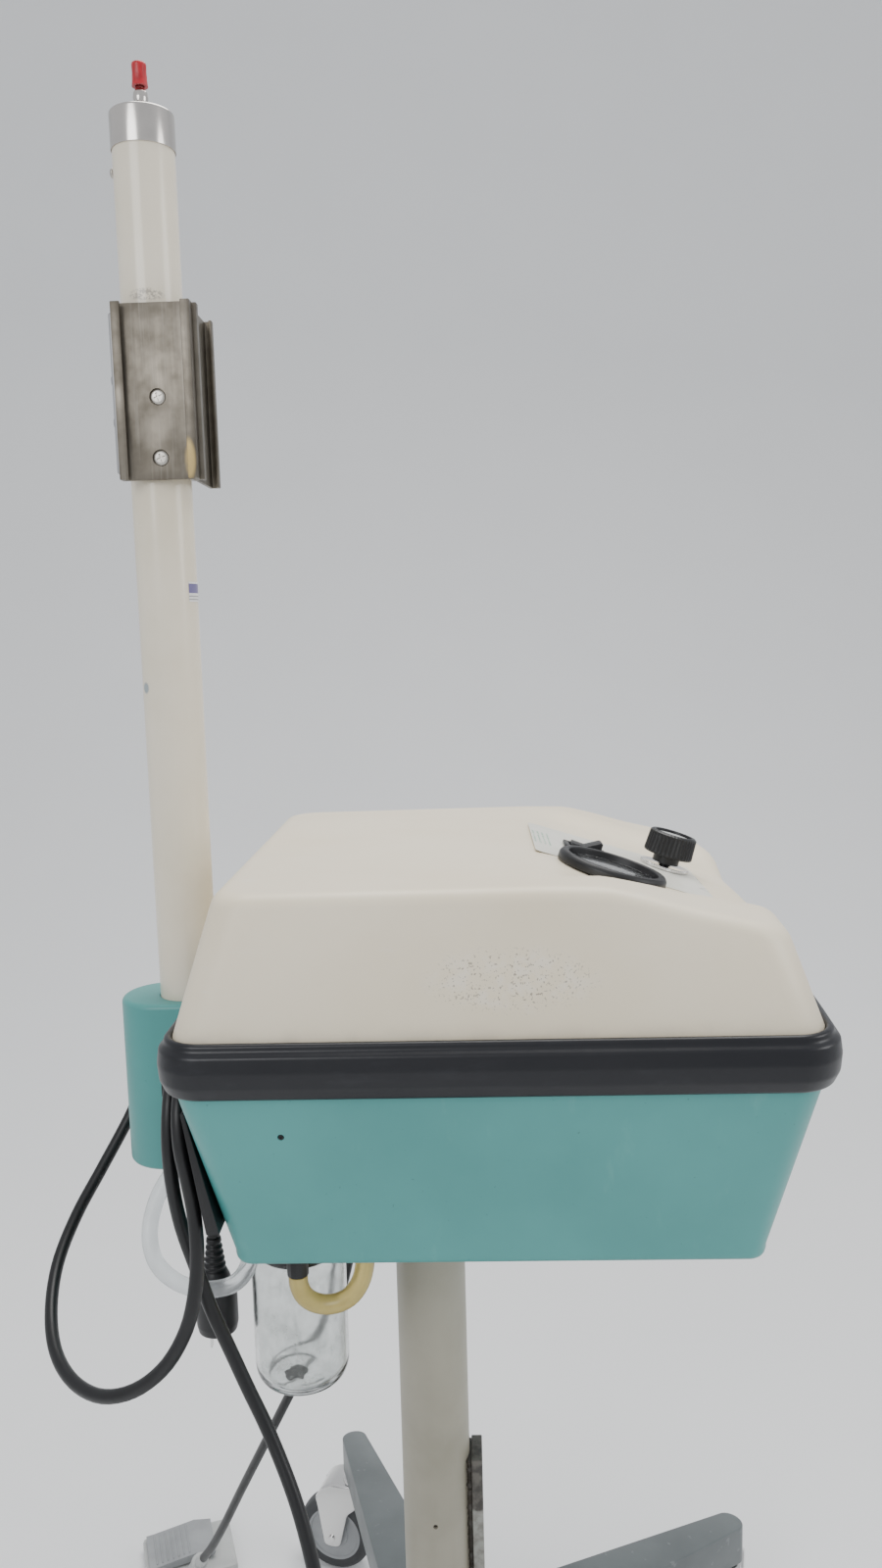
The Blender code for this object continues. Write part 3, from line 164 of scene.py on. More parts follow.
# %% Finish maker
class Finish(Graph):
    def __init__(self, name, colour, roughness=0.5, metallic=0.0, **fixed):
        self.material = bpy.data.materials.new(name)
        self.material.use_nodes = True
        super().__init__(self.material.node_tree)
        self.shader = self.tree.nodes["Principled BSDF"]
        self.at = self.node("ShaderNodeTexCoord", out="Object")
        self.set(**{"Base Color": colour, "Roughness": roughness, "Metallic": metallic})
        for key, value in fixed.items():
            self.shader.inputs[key.replace("_", " ")].default_value = paint(value)
        self.material.diffuse_color = (*colour, 1.0)

    def set(self, **links):
        for key, value in links.items():
            socket = self.shader.inputs[key]
            if isinstance(value, Sock):
                self.tree.links.new(value.socket, socket)
            else:
                socket.default_value = paint(value)

    def noise(self, scale, detail=3.0, rough=0.55, stretch=None, shift=0.0):
        where = self.at
        if stretch or shift:
            drift = (shift, shift * 0.7, shift * 0.3)
            where = self.node("ShaderNodeMapping", {"Vector": self.at, "Location": drift,
                                                    "Scale": stretch or (1, 1, 1)})
        return self.node("ShaderNodeTexNoise", {"Vector": where, "Scale": scale, "Detail": detail,
                                                "Roughness": rough})

    def axis(self, letter):
        return self.node("ShaderNodeSeparateXYZ", (self.at,), "XYZ".index(letter))

    def spot(self, centre, size):
        """1 inside an ellipsoid at centre, fading to 0 at its skin."""
        away = self.node("ShaderNodeVectorMath", (self.at, centre), operation="SUBTRACT")
        away = self.node("ShaderNodeVectorMath", (away, size), operation="DIVIDE")
        return 1.0 - self.node("ShaderNodeVectorMath", (away,), 1, operation="LENGTH").ease(0.55, 1.0)

    def bump(self, height, strength, distance):
        return self.node("ShaderNodeBump", {"Height": height, "Strength": strength, "Distance": distance})


def plain_finish(name, colour, roughness, shade=0.10, grain=900.0, relief=0.05, cloud=18.0):
    """A finish with soft cloudy shade, uneven gloss and a fine grain."""
    f = Finish(name, colour, roughness)
    clouds = f.noise(cloud, 4.0)
    fine = f.noise(grain, 2.0, shift=3.0)
    dark = tuple(c * (1.0 - shade * 2.2) for c in colour)
    f.set(**{"Base Color": f.mix(clouds.ease(0.35, 0.75), colour, dark),
             "Roughness": (roughness + (clouds - 0.5) * 0.18 + (fine - 0.5) * 0.10).clamp(),
             "Normal": f.bump(fine, relief, 0.0006)})
    return f.material


print("finish words ready")

# %% [markdown]
# ## Words for shapes
# Turned parts come from a profile of radius and height. Corners of a profile or outline are rounded
# before use, because a real edge always catches a line of light.

# %% Rounding and turning
def rounded(points, radius, steps=3, closed=False):
    """The same line of points with each corner replaced by a small curve."""
    out = []
    count = len(points)
    for k, point in enumerate(points):
        p = Vector(point)
        if not closed and k in (0, count - 1):
            out.append(tuple(p))
            continue
        before, after = Vector(points[k - 1]), Vector(points[(k + 1) % count])
        a = before - p
        b = after - p
        reach = min(radius, a.length * 0.48, b.length * 0.48)
        if reach < 1e-6 or a.angle(-b, 0.0) < 0.12:
            out.append(tuple(p))
            continue
        start, end = p + a.normalized() * reach, p + b.normalized() * reach
        for s in range(steps + 1):
            t = s / steps
            out.append(tuple(start * (1 - t) ** 2 + p * 2 * t * (1 - t) + end * t * t))
    return out


def lathe(profile, steps=96, closed=False, shape=None):
    """Turn (radius, height) points about Z. shape can push each point of radius r, turn a, height z."""
    bm = bmesh.new()
    rings = []
    for r, z in profile:
        turns = [0.0] if r < 1e-7 else [2 * math.pi * k / steps for k in range(steps)]
        rings.append([bm.verts.new(shape(r, a, z) if shape else (r * math.cos(a), r * math.sin(a), z))
                      for a in turns])
    for one, two in zip(rings, rings[1:] + (rings[:1] if closed else [])):
        if len(one) == len(two) == 1:
            continue
        for k in range(steps):
            j = (k + 1) % steps
            corners = [one[k % len(one)], two[k % len(two)], two[j % len(two)], one[j % len(one)]]
            bm.faces.new(list(dict.fromkeys(corners)))
    return bm


def extrude(outline, low, high, bevel=0.0, segments=2):
    """A flat outline raised from low to high, with its sharp edges bevelled."""
    bm = bmesh.new()
    base = [bm.verts.new((x, y, low)) for x, y in outline]
    top = [bm.verts.new((x, y, high)) for x, y in outline]
    bm.faces.new(base)
    bm.faces.new(top)
    bridge(bm, base, top)
    return soften(bm, bevel, segments)


def bridge(bm, one, two):
    """Faces between two loops of the same number of points."""
    for k in range(len(one)):
        j = (k + 1) % len(one)
        bm.faces.new((one[k], one[j], two[j], two[k]))


def soften(bm, bevel, segments=2, angle=0.5):
    bmesh.ops.recalc_face_normals(bm, faces=bm.faces)
    if bevel:
        edges = [e for e in bm.edges if len(e.link_faces) == 2 and e.calc_face_angle(0.0) > angle]
        bmesh.ops.bevel(bm, geom=edges, offset=bevel, segments=segments, profile=0.5, affect="EDGES",
                        clamp_overlap=True)
    return bm


def block(size, bevel=0.0, segments=2):
    x, y, z = (s / 2 for s in size)
    return extrude([(-x, -y), (x, -y), (x, y), (-x, y)], -z, z, bevel, segments)


def refined(node, bevel=0.0, segments=2):
    """A merged copy of a measured node, its flats made whole and its edges bevelled."""
    bm = bmesh.new()
    bm.from_mesh(NODES[node].data)
    bmesh.ops.remove_doubles(bm, verts=bm.verts, dist=0.000004)
    bmesh.ops.dissolve_limit(bm, angle_limit=0.005, verts=bm.verts, edges=bm.edges)
    return soften(bm, bevel, segments)


print("words for rounding, turning, extruding and refining")

# %% [markdown]
# Every finished piece has its place in its mesh and its object at the origin, so it rides on a body
# of the frame without sliding its pattern. One function does that for all of them.

# %% Placing a piece
def at(x, y, z, turn=None):
    return Matrix.Translation((x, y, z)) @ (turn.to_4x4() if turn else Matrix.Identity(4))


def turned(degrees, axis):
    return Matrix.Rotation(math.radians(degrees), 3, axis)


def moved(bm, place):
    bmesh.ops.transform(bm, matrix=place, verts=bm.verts)
    return bm


def mesh_of(name, bm):
    """A plain mesh of a bmesh, its faces turned outwards."""
    bmesh.ops.recalc_face_normals(bm, faces=bm.faces)
    mesh = bpy.data.meshes.new(name)
    bm.to_mesh(mesh)
    bm.free()
    return mesh


LEAN = turned(90, "X")


def piece(name, bm, finish, body="unit", stands_for=(), place=None, sharp=32.0):
    if place is not None:
        moved(bm, place)
    obj = bpy.data.objects.new(name, mesh_of(name, bm))
    return settle(obj, finish, body, stands_for, sharp)


def settle(obj, finish, body="unit", stands_for=(), sharp=32.0):
    if obj.name not in bpy.context.scene.collection.objects:
        bpy.context.scene.collection.objects.link(obj)
    obj.data.materials.clear()
    obj.data.materials.append(finish)
    if obj.type == "MESH":
        obj.data.shade_smooth()
        obj.data.set_sharp_from_angle(angle=math.radians(sharp))
    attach(obj, body)
    if stands_for:
        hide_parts(*stands_for)
    return obj


def join(first, *others):
    """Add other bmeshes, each with its own place, to the first one."""
    for bm, place in others:
        if place is not None:
            moved(bm, place)
        mesh = bpy.data.meshes.new("part")
        bm.to_mesh(mesh)
        bm.free()
        first.from_mesh(mesh)
        bpy.data.meshes.remove(mesh)
    return first


print("shape words ready")

# %% [markdown]
# ## Floor and light
# A pale floor that curves away, a large soft lamp above, one on each side and a pale surround. This
# is enough to show gloss on the pole and the rubber without hard shadows.

# %% Floor and light
floor_mesh = bpy.data.meshes.new("floor")
EDGE, BEND_AT, BEND_R = 9.0, 1.5, 3.0
sweep = [(-EDGE, 0.0), (BEND_AT, 0.0)]
for k in range(1, 19):
    climb = math.radians(5 * k)
    sweep.append((BEND_AT + BEND_R * math.sin(climb), BEND_R - BEND_R * math.cos(climb)))
sweep.append((BEND_AT + BEND_R, EDGE))
floor_mesh.from_pydata([(x, y, z) for y, z in sweep for x in (-EDGE, EDGE)], [],
                       [(2 * k, 2 * k + 1, 2 * k + 3, 2 * k + 2) for k in range(len(sweep) - 1)])
floor_mesh.shade_smooth()
floor = bpy.data.objects.new("floor", floor_mesh)
bpy.context.scene.collection.objects.link(floor)
floor_finish = Finish("pale_floor", (0.72, 0.73, 0.73), 0.55)
cloud = floor_finish.noise(2.5, 3.0)
floor_finish.set(**{"Base Color": floor_finish.mix(cloud, (0.88, 0.885, 0.89), (0.84, 0.845, 0.85))})
floor.data.materials.append(floor_finish.material)

surround = bpy.data.worlds.new("surround")
bpy.context.scene.world = surround
surround.use_nodes = True
surround.node_tree.nodes["Background"].inputs["Color"].default_value = (0.90, 0.92, 0.95, 1.0)
surround.node_tree.nodes["Background"].inputs["Strength"].default_value = 0.80


def lamp(name, place, aim, size, power, colour=(1, 1, 1)):
    light = bpy.data.objects.new(name, bpy.data.lights.new(name, "AREA"))
    light.data.shape = "DISK"
    light.data.size = size
    light.data.energy = power
    light.data.color = colour
    light.location = place
    light.rotation_euler = (Vector(aim) - Vector(place)).to_track_quat("-Z", "Y").to_euler()
    bpy.context.scene.collection.objects.link(light)
    return light


lamp("overhead", (0.3, 0.6, 3.4), (0.0, 0.0, 0.9), 2.2, 70, (1.0, 0.99, 0.97))
lamp("near_side", (-1.2, -2.6, 2.3), (0.0, 0.0, 0.9), 1.6, 30, (0.98, 0.99, 1.0))
lamp("front_side", (2.8, -0.6, 2.0), (0.0, 0.0, 0.8), 1.4, 20)
print("one floor, three lamps")

# %% [markdown]
# ## Finishes of the painted and moulded parts
# Cream enamel on the tubes is glossy and slightly uneven. The housing is moulded plastic with a fine
# grain, chalky scuffs and a few dark specks on its near side. The teal plastic has greasy clouds.

# %% Painted and moulded finishes
def cream_enamel():
    f = Finish("cream_enamel", (0.79, 0.745, 0.66), 0.22, Coat_Roughness=0.08)
    clouds, drips = f.noise(9.0, 4.0), f.noise(60.0, 3.0, stretch=(1, 1, 0.08), shift=2.0)
    tone = f.mix(clouds.ease(0.35, 0.8), (0.82, 0.75, 0.61), (0.74, 0.665, 0.515))
    smear = f.spot((-0.158, -0.0254, 1.4975), (0.017, 0.02, 0.006)) * f.noise(420.0, 3.0).ease(0.38, 0.62)
    nick = f.spot((-0.1785, -0.0150, 1.1780), (0.004, 0.02, 0.006))
    rub = f.noise(35.0, 5.0, shift=5.0).ease(0.66, 0.74) * 0.5
    tone = f.mix((smear * 0.55).clamp(), tone, (0.16, 0.14, 0.12))
    tone = f.mix((nick * 0.8).clamp(), tone, (0.20, 0.28, 0.33))
    tone = f.mix((drips.ease(0.62, 0.8) * 0.16).clamp(), tone, (0.55, 0.50, 0.40))
    f.set(**{"Base Color": tone, "Roughness": (0.17 + clouds * 0.12 + rub * 0.18).clamp(),
             "Coat Weight": 0.35, "Normal": f.bump(f.noise(140.0, 2.0), 0.10, 0.0008)})
    return f.material


def satin_column_painted_shade():
    f = Finish("satin_column_painted_shade", (0.70, 0.66, 0.57), 0.42)
    clouds, scuff = f.noise(12.0, 4.0), f.noise(90.0, 4.0, stretch=(1, 1, 0.25), shift=4.0)
    # The column's cream is laid down at about half the pole's brightness as painted shade, for the shade
    # under the housing; the lighter scuffs are real.
    tone = f.mix(clouds.ease(0.3, 0.8), (0.37, 0.345, 0.275), (0.30, 0.28, 0.215))
    tone = f.mix((scuff.ease(0.63, 0.78) * 0.35).clamp(), tone, (0.40, 0.37, 0.31))
    f.set(**{"Base Color": tone, "Roughness": (0.36 + clouds * 0.16).clamp(),
             "Normal": f.bump(f.noise(700.0, 2.0), 0.12, 0.0004)})
    return f.material


def cream_shell():
    f = Finish("cream_shell", (0.76, 0.70, 0.60), 0.40)
    clouds, grain = f.noise(7.0, 4.0), f.noise(1500.0, 2.0)
    hair = f.noise(30.0, 5.0, stretch=(1, 1, 6), shift=7.0)
    tone = f.mix(clouds.ease(0.3, 0.8), (0.84, 0.755, 0.59), (0.79, 0.695, 0.52))
    tone = f.mix((hair.ease(0.64, 0.80) * 0.22).clamp(), tone, (0.83, 0.80, 0.73))
    patch = f.spot((0.123, -0.222, 0.976), (0.072, 0.05, 0.027))
    specks = f.noise(520.0, 2.0, shift=1.0).ease(0.60, 0.66)
    chalk = patch * f.noise(60.0, 4.0, shift=9.0).ease(0.45, 0.60)
    tone = f.mix((chalk * 0.30).clamp(), tone, (0.85, 0.82, 0.76))
    tone = f.mix((patch * specks * 0.75).clamp(), tone, (0.22, 0.19, 0.15))
    low = 1.0 - f.axis("Z").ease(0.934, 0.950)
    grime = low * f.noise(45.0, 4.0, shift=6.0).ease(0.4, 0.7) * 0.28
    tone = f.mix(grime.clamp(), tone, (0.50, 0.44, 0.34))
    f.set(**{"Base Color": tone, "Roughness": (0.33 + clouds * 0.14 + chalk * 0.2).clamp(),
             "Normal": f.bump(grain + patch * specks * -2.0, 0.08, 0.0005)})
    return f.material


def teal_shell():
    f = Finish("teal_shell", (0.11, 0.40, 0.375), 0.36)
    clouds, grain = f.noise(8.0, 4.0), f.noise(1300.0, 2.0)
    streak = f.noise(50.0, 4.0, stretch=(1, 1, 0.2), shift=3.0)
    tone = f.mix(clouds.ease(0.3, 0.8), (0.078, 0.315, 0.300), (0.066, 0.275, 0.262))
    tone = f.mix((streak.ease(0.60, 0.80) * 0.20).clamp(), tone, (0.21, 0.50, 0.47))
    tone = f.mix((f.noise(300.0, 2.0, shift=8.0).ease(0.735, 0.76) * 0.5).clamp(), tone, (0.04, 0.12, 0.12))
    f.set(**{"Base Color": tone, "Roughness": (0.30 + clouds * 0.14).clamp(),
             "Normal": f.bump(grain, 0.08, 0.0005)})
    return f.material


# %% Rubber and plain plastic
def bumper_rubber():
    f = Finish("bumper_rubber", (0.012, 0.013, 0.018), 0.30)
    clouds, dust = f.noise(14.0, 5.0), f.noise(70.0, 5.0, stretch=(0.3, 1, 1), shift=2.0)
    tone = f.mix((dust.ease(0.55, 0.85) * 0.5).clamp(), (0.0025, 0.003, 0.006), (0.020, 0.021, 0.027))
    f.set(**{"Base Color": tone, "Roughness": (0.20 + clouds * 0.28).clamp(),
             "Normal": f.bump(f.noise(260.0, 3.0), 0.10, 0.0008)})
    return f.material


CREAM = cream_enamel()
COLUMN = satin_column_painted_shade()
SHELL = cream_shell()
TEAL = teal_shell()
BUMPER = bumper_rubber()
BLACK = plain_finish("black_plastic", (0.004, 0.004, 0.005), 0.42, shade=0.15, relief=0.12)
CORD = plain_finish("cord_jacket", (0.004, 0.004, 0.005), 0.40, shade=0.15, cloud=30.0, relief=0.06)
TYRE = plain_finish("tyre_rubber", (0.05, 0.052, 0.055), 0.62, shade=0.2, relief=0.2)
PALE_PLASTIC = plain_finish("pale_plastic", (0.52, 0.53, 0.52), 0.45, shade=0.08, relief=0.12)
PEDAL = plain_finish("pedal_plastic", (0.33, 0.34, 0.35), 0.5, shade=0.1, relief=0.12)
print("moulded finishes", len(bpy.data.materials))

# %% [markdown]
# ## Finishes of metal, glass and soft tube
# The bracket's plating is worn brown with vertical rub marks and a brassy patch near its lower edge.
# The clear hose and the jar are glass-like, with a whitish film dried on the jar's inside.

# %% Plated and polished metal
def worn_plate():
    f = Finish("worn_plate", (0.40, 0.365, 0.315), 0.38, 1.0)
    rub = f.noise(260.0, 5.0, stretch=(1, 1, 0.035))
    blot, pits = f.noise(38.0, 6.0, shift=2.0), f.noise(900.0, 3.0, shift=4.0)
    tone = f.mix(blot.ease(0.3, 0.75), (0.210, 0.188, 0.155), (0.125, 0.110, 0.088))
    tone = f.mix((rub.ease(0.50, 0.72) * 0.40).clamp(), tone, (0.34, 0.31, 0.265))
    brassy = f.spot((-0.1265, -0.0400, 1.3640), (0.007, 0.012, 0.020)) * blot.ease(0.30, 0.55)
    tone = f.mix((brassy * 0.9).clamp(), tone, (0.62, 0.46, 0.20))
    tone = f.mix((pits.ease(0.68, 0.76) * 0.5).clamp(), tone, (0.10, 0.085, 0.07))
    f.set(**{"Base Color": tone, "Roughness": (0.28 + blot * 0.30 + (rub - 0.5) * 0.25).clamp(),
             "Normal": f.bump(rub + pits * 0.5, 0.12, 0.0005)})
    return f.material


def polished(name, colour, roughness=0.10, smear=0.14):
    f = Finish(name, colour, roughness, 1.0)
    haze, fine = f.noise(24.0, 5.0), f.noise(500.0, 3.0, stretch=(1, 1, 0.1), shift=2.0)
    dull = tuple(c * 0.72 for c in colour)
    f.set(**{"Base Color": f.mix((haze.ease(0.5, 0.85) * 0.6).clamp(), colour, dull),
             "Roughness": (roughness + haze * smear + (fine - 0.5) * 0.08).clamp(),
             "Normal": f.bump(fine, 0.04, 0.0003)})
    return f.material


# %% Painted steel and bare bar
def grey_paint():
    f = Finish("grey_paint", (0.19, 0.21, 0.215), 0.40)
    clouds, chips = f.noise(11.0, 5.0), f.noise(85.0, 5.0, shift=3.0)
    tone = f.mix(clouds.ease(0.3, 0.8), (0.125, 0.142, 0.145), (0.095, 0.107, 0.110))
    tone = f.mix((chips.ease(0.66, 0.70) * 0.6).clamp(), tone, (0.19, 0.205, 0.21))
    f.set(**{"Base Color": tone, "Roughness": (0.30 + clouds * 0.22).clamp(),
             "Normal": f.bump(f.noise(420.0, 3.0), 0.14, 0.0005)})
    return f.material


def bar_metal():
    f = Finish("bar_metal", (0.30, 0.30, 0.28), 0.55, 0.2)
    edge = f.axis("Z") + (f.noise(90.0, 4.0) - 0.5) * 0.016
    bare = edge.ease(0.404, 0.408)
    blot = f.noise(120.0, 5.0, shift=2.0)
    paint_tone = f.mix(blot.ease(0.4, 0.7), (0.33, 0.33, 0.30), (0.21, 0.20, 0.18))
    bare_tone = f.mix(blot.ease(0.35, 0.65), (0.055, 0.05, 0.045), (0.13, 0.12, 0.105))
    f.set(**{"Base Color": f.mix(bare, paint_tone, bare_tone), "Roughness": (0.45 + blot * 0.25).clamp(),
             "Normal": f.bump(blot, 0.35, 0.0008)})
    return f.material


# %% Glass, soft tube and dried film
def clear_soft(name, colour, strength, roughness):
    f = Finish(name, colour, roughness, IOR=1.38, Transmission_Weight=strength)
    haze, lines = f.noise(60.0, 4.0), f.noise(200.0, 3.0, shift=2.0)
    dull = tuple(c * 0.86 for c in colour)
    f.set(**{"Base Color": f.mix(haze.ease(0.35, 0.75), colour, dull),
             "Roughness": (roughness + haze * 0.18).clamp(), "Normal": f.bump(lines, 0.05, 0.0005)})
    return f.material


def jar_film():
    f = Finish("jar_film", (0.78, 0.79, 0.77), 0.7)
    cloud, fine = f.noise(34.0, 6.0, 0.65), f.noise(150.0, 5.0, stretch=(1, 1, 0.4), shift=2.0)
    tide = 1.0 - f.axis("Z").ease(0.648, 0.662)
    cover = ((0.10 + cloud.ease(0.35, 0.80) * fine.ease(0.25, 0.75) * 0.55) * tide).clamp()
    f.set(**{"Base Color": f.mix(fine.ease(0.4, 0.7), (0.82, 0.82, 0.80), (0.74, 0.74, 0.71)),
             "Roughness": (0.55 + fine * 0.3).clamp(), "Alpha": cover})
    return f.material


PLATE = worn_plate()
CHROME = polished("chrome", (0.74, 0.73, 0.72), 0.07, 0.10)
CAP_METAL = polished("cap_metal", (0.62, 0.59, 0.56), 0.13, 0.12)
BRASS = polished("brass", (0.62, 0.47, 0.22), 0.22, 0.25)
SCREW = polished("screw_steel", (0.55, 0.52, 0.47), 0.25, 0.22)
CASTING = polished("cast_metal", (0.42, 0.42, 0.43), 0.45, 0.2)
GREY = grey_paint()
BAR = bar_metal()
GLASS = clear_soft("jar_glass", (0.93, 0.95, 0.945), 1.0, 0.0)
LENS = clear_soft("lens", (0.95, 0.96, 0.96), 1.0, 0.0)
CLEAR_HOSE = clear_soft("clear_hose", (0.90, 0.93, 0.94), 0.82, 0.06)
YELLOW_HOSE = clear_soft("yellow_hose", (0.80, 0.64, 0.24), 0.55, 0.12)
FILM = jar_film()
RED = plain_finish("red_vinyl", (0.50, 0.012, 0.022), 0.34, shade=0.16, cloud=160.0, relief=0.10)
# A dark finish for the real adhesive line and the jar residue, also used as painted shade inside the column's
# cross hole.
GLUE_AND_SHADE = plain_finish("old_adhesive_and_painted_shade", (0.045, 0.038, 0.030), 0.55, shade=0.3, relief=0.4)
print("all finishes", len(bpy.data.materials))

# %% [markdown]
# ## Cords and hoses first
# A cord is a fixed length of something flexible. Each one follows one smooth line through the points
# that the frame's solid follows. The smoothing spaces its points by the square root of each gap, so
# the line never loops where two points are close.

# %% Smooth line
def smooth_line(points, spacing):
    pts = [Vector(p) for p in points]
    ends = [pts[0] * 2 - pts[1]] + pts + [pts[-1] * 2 - pts[-2]]
    dense = []
    for i in range(1, len(ends) - 2):
        a, b, c, d = ends[i - 1:i + 3]
        t1 = (b - a).length ** 0.5
        t2 = t1 + (c - b).length ** 0.5
        t3 = t2 + (d - c).length ** 0.5
        for k in range(24):
            t = t1 + (t2 - t1) * k / 24
            ab, bc, cd = a.lerp(b, t / t1), b.lerp(c, (t - t1) / (t2 - t1)), c.lerp(d, (t - t2) / (t3 - t2))
            dense.append(ab.lerp(bc, t / t2).lerp(bc.lerp(cd, (t - t1) / (t3 - t1)), (t - t1) / (t2 - t1)))
    dense.append(pts[-1])
    total = sum((q - p).length for p, q in zip(dense, dense[1:]))
    count = max(2, round(total / spacing))
    out, run = [dense[0]], 0.0
    for p, q in zip(dense, dense[1:]):
        length = (q - p).length
        while len(out) < count and run + length >= total / count * len(out):
            out.append(p.lerp(q, (total / count * len(out) - run) / length))
        run += length
    out.append(dense[-1])
    return out, total


def soft_tube(name, line, radius, finish, nodes):
    data = bpy.data.curves.new(name, "CURVE")
    data.dimensions = "3D"
    data.bevel_depth = radius
    data.bevel_resolution = 8
    data.use_fill_caps = True
    spline = data.splines.new("POLY")
    spline.points.add(len(line) - 1)
    for point, spot in zip(spline.points, line):
        point.co = (*spot, 1.0)
    return settle(bpy.data.objects.new(name, data), finish, "unit", nodes)


def from_column(points):
    """Points measured from the column's axis, put where the frame has them."""
    return [(x + COLUMN_X, y, z) for x, y, z in points]


sample_line, sample_length = smooth_line([(0.0, 0.0, 0.0), (0.5, 0.0, 0.0), (1.0, 0.0, 0.0)], 0.1)
print("a straight metre becomes", len(sample_line), "points over", round(sample_length, 3))

# %% Routes, measured from the column's axis
MAINS_ROUTE = (
    (-0.1969, 0.0760, 0.8560), (-0.2160, 0.0760, 0.8556), (-0.2450, 0.0737, 0.8410),
    (-0.2700, 0.0640, 0.8030), (-0.2883, 0.0480, 0.7640), (-0.3080, 0.0220, 0.7270),
    (-0.3240, -0.0080, 0.6960), (-0.3300, -0.0450, 0.6700), (-0.3230, -0.0850, 0.6490),
    (-0.3055, -0.1240, 0.6360), (-0.2802, -0.1550, 0.6310), (-0.2500, -0.1780, 0.6350),
    (-0.2210, -0.1890, 0.6475), (-0.1950, -0.1940, 0.6700), (-0.1770, -0.1950, 0.7000),
    (-0.1685, -0.1950, 0.7303), (-0.1655, -0.1930, 0.7613), (-0.1670, -0.1900, 0.7902),
    (-0.1710, -0.1885, 0.8164), (-0.1755, -0.1870, 0.8420), (-0.1775, -0.1790, 0.8680),
    (-0.1775, -0.1620, 0.8850), (-0.1775, -0.1420, 0.8885), (-0.1775, -0.1210, 0.8800),
    (-0.1785, -0.1060, 0.8570), (-0.1805, -0.0990, 0.8250), (-0.1832, -0.0890, 0.7950),
    (-0.1862, -0.0720, 0.7660), (-0.1887, -0.0540, 0.7420), (-0.1903, -0.0420, 0.7220),
    (-0.1905, -0.0400, 0.7050), (-0.1905, -0.0400, 0.6920),
)
HOSE_ROUTE = (
    (-0.1595, -0.0620, 0.7760), (-0.1750, -0.0620, 0.7790), (-0.1860, -0.0620, 0.7920),
    (-0.1905, -0.0630, 0.8120), (-0.1910, -0.0670, 0.8380), (-0.1908, -0.0780, 0.8650),
    (-0.1906, -0.0980, 0.8840), (-0.1905, -0.1210, 0.8878), (-0.1905, -0.1440, 0.8795),
    (-0.1905, -0.1590, 0.8580), (-0.1905, -0.1650, 0.8300), (-0.1890, -0.1650, 0.8000),
    (-0.1840, -0.1650, 0.7680), (-0.1750, -0.1650, 0.7360), (-0.1640, -0.1660, 0.7000),
    (-0.1504, -0.1680, 0.6670), (-0.1370, -0.1720, 0.6370), (-0.1209, -0.1790, 0.6050),
    (-0.0976, -0.2000, 0.5590), (-0.0800, -0.2220, 0.5050), (-0.0660, -0.2400, 0.4300),
    (-0.0540, -0.2540, 0.3400), (-0.0430, -0.2640, 0.2400), (-0.0310, -0.2720, 0.1500),
    (-0.0150, -0.2800, 0.0780), (0.0080, -0.2880, 0.0300), (0.0330, -0.2975, 0.0085),
    (0.0470, -0.3050, 0.0058),
)
FOOT_ROUTE = (
    (-0.0720, 0.1000, 0.7160), (-0.0740, 0.1000, 0.6880), (-0.0820, 0.1010, 0.6200),
    (-0.0990, 0.1040, 0.5500), (-0.1300, 0.1150, 0.4830), (-0.1645, 0.1400, 0.4090),
    (-0.1950, 0.1680, 0.3400), (-0.2350, 0.2100, 0.2480), (-0.2700, 0.2500, 0.1650),
    (-0.2935, 0.2800, 0.1120), (-0.3100, 0.3050, 0.0780),
)
CLEAR_ROUTE = (
    (-0.2100, 0.0000, 0.7772), (-0.2112, 0.0000, 0.7680), (-0.2220, -0.0020, 0.7500),
    (-0.2370, -0.0080, 0.7320), (-0.2475, -0.0170, 0.7120), (-0.2505, -0.0300, 0.6890),
    (-0.2430, -0.0430, 0.6710), (-0.2260, -0.0550, 0.6610), (-0.2020, -0.0680, 0.6590),
    (-0.1780, -0.0800, 0.6660), (-0.1600, -0.0920, 0.6790), (-0.1490, -0.0985, 0.6950),
    (-0.1450, -0.0975, 0.7110), (-0.1450, -0.0957, 0.7247),
)
YELLOW_ROUTE = (
    (-0.1035, -0.1155, 0.6982), (-0.1031, -0.1156, 0.6900), (-0.0990, -0.1160, 0.6805),
    (-0.0895, -0.1168, 0.6745), (-0.0760, -0.1172, 0.6735), (-0.0620, -0.1172, 0.6795),
    (-0.0520, -0.1165, 0.6930),
    (-0.0480, -0.1155, 0.7110), (-0.0497, -0.1150, 0.7245), (-0.0500, -0.1150, 0.7344),
)
print("routes", len(MAINS_ROUTE), len(HOSE_ROUTE), len(FOOT_ROUTE), len(CLEAR_ROUTE), len(YELLOW_ROUTE))

# %% [markdown]
# The gas hose goes on into its own coil on the floor: four turns, each lying beside or on the last,
# with its brass end piece beside it. Its turns follow the ring that stands for them in the frame.

# %% Cords and hoses
CORD_D, FOOT_LEAD_D, CLEAR_D, YELLOW_D = 0.0110, 0.0100, 0.0144, 0.0160
COIL = Vector((0.0880 + COLUMN_X, -0.2350, 0.0))
WIDE_TURN, COIL_STEP = 0.0690, 0.0115


def coil_points():
    """Four turns climbing out of the hose's last point: two on the floor, two above them."""
    turns = []
    start = math.radians(238)
    for k in range(4 * 18 + 1):
        t = k / 18
        wide = WIDE_TURN if t < 0.7 else WIDE_TURN - COIL_STEP * min(1.0, (t - 0.7) / 0.3)
        if t > 1.7:
            wide = WIDE_TURN - COIL_STEP + COIL_STEP * min(1.0, (t - 1.7) / 0.3)
        if t > 2.7:
            wide = WIDE_TURN - COIL_STEP * min(1.0, (t - 2.7) / 0.3)
        high = 0.0061 + 0.0016 * max(0.0, 1.0 - 6.0 * t) + 0.0112 * min(1.0, max(0.0, (t - 1.7) / 0.3))
        angle = start + 2 * math.pi * t
        turns.append((COIL.x + wide * math.cos(angle), COIL.y + wide * math.sin(angle), high))
    return turns


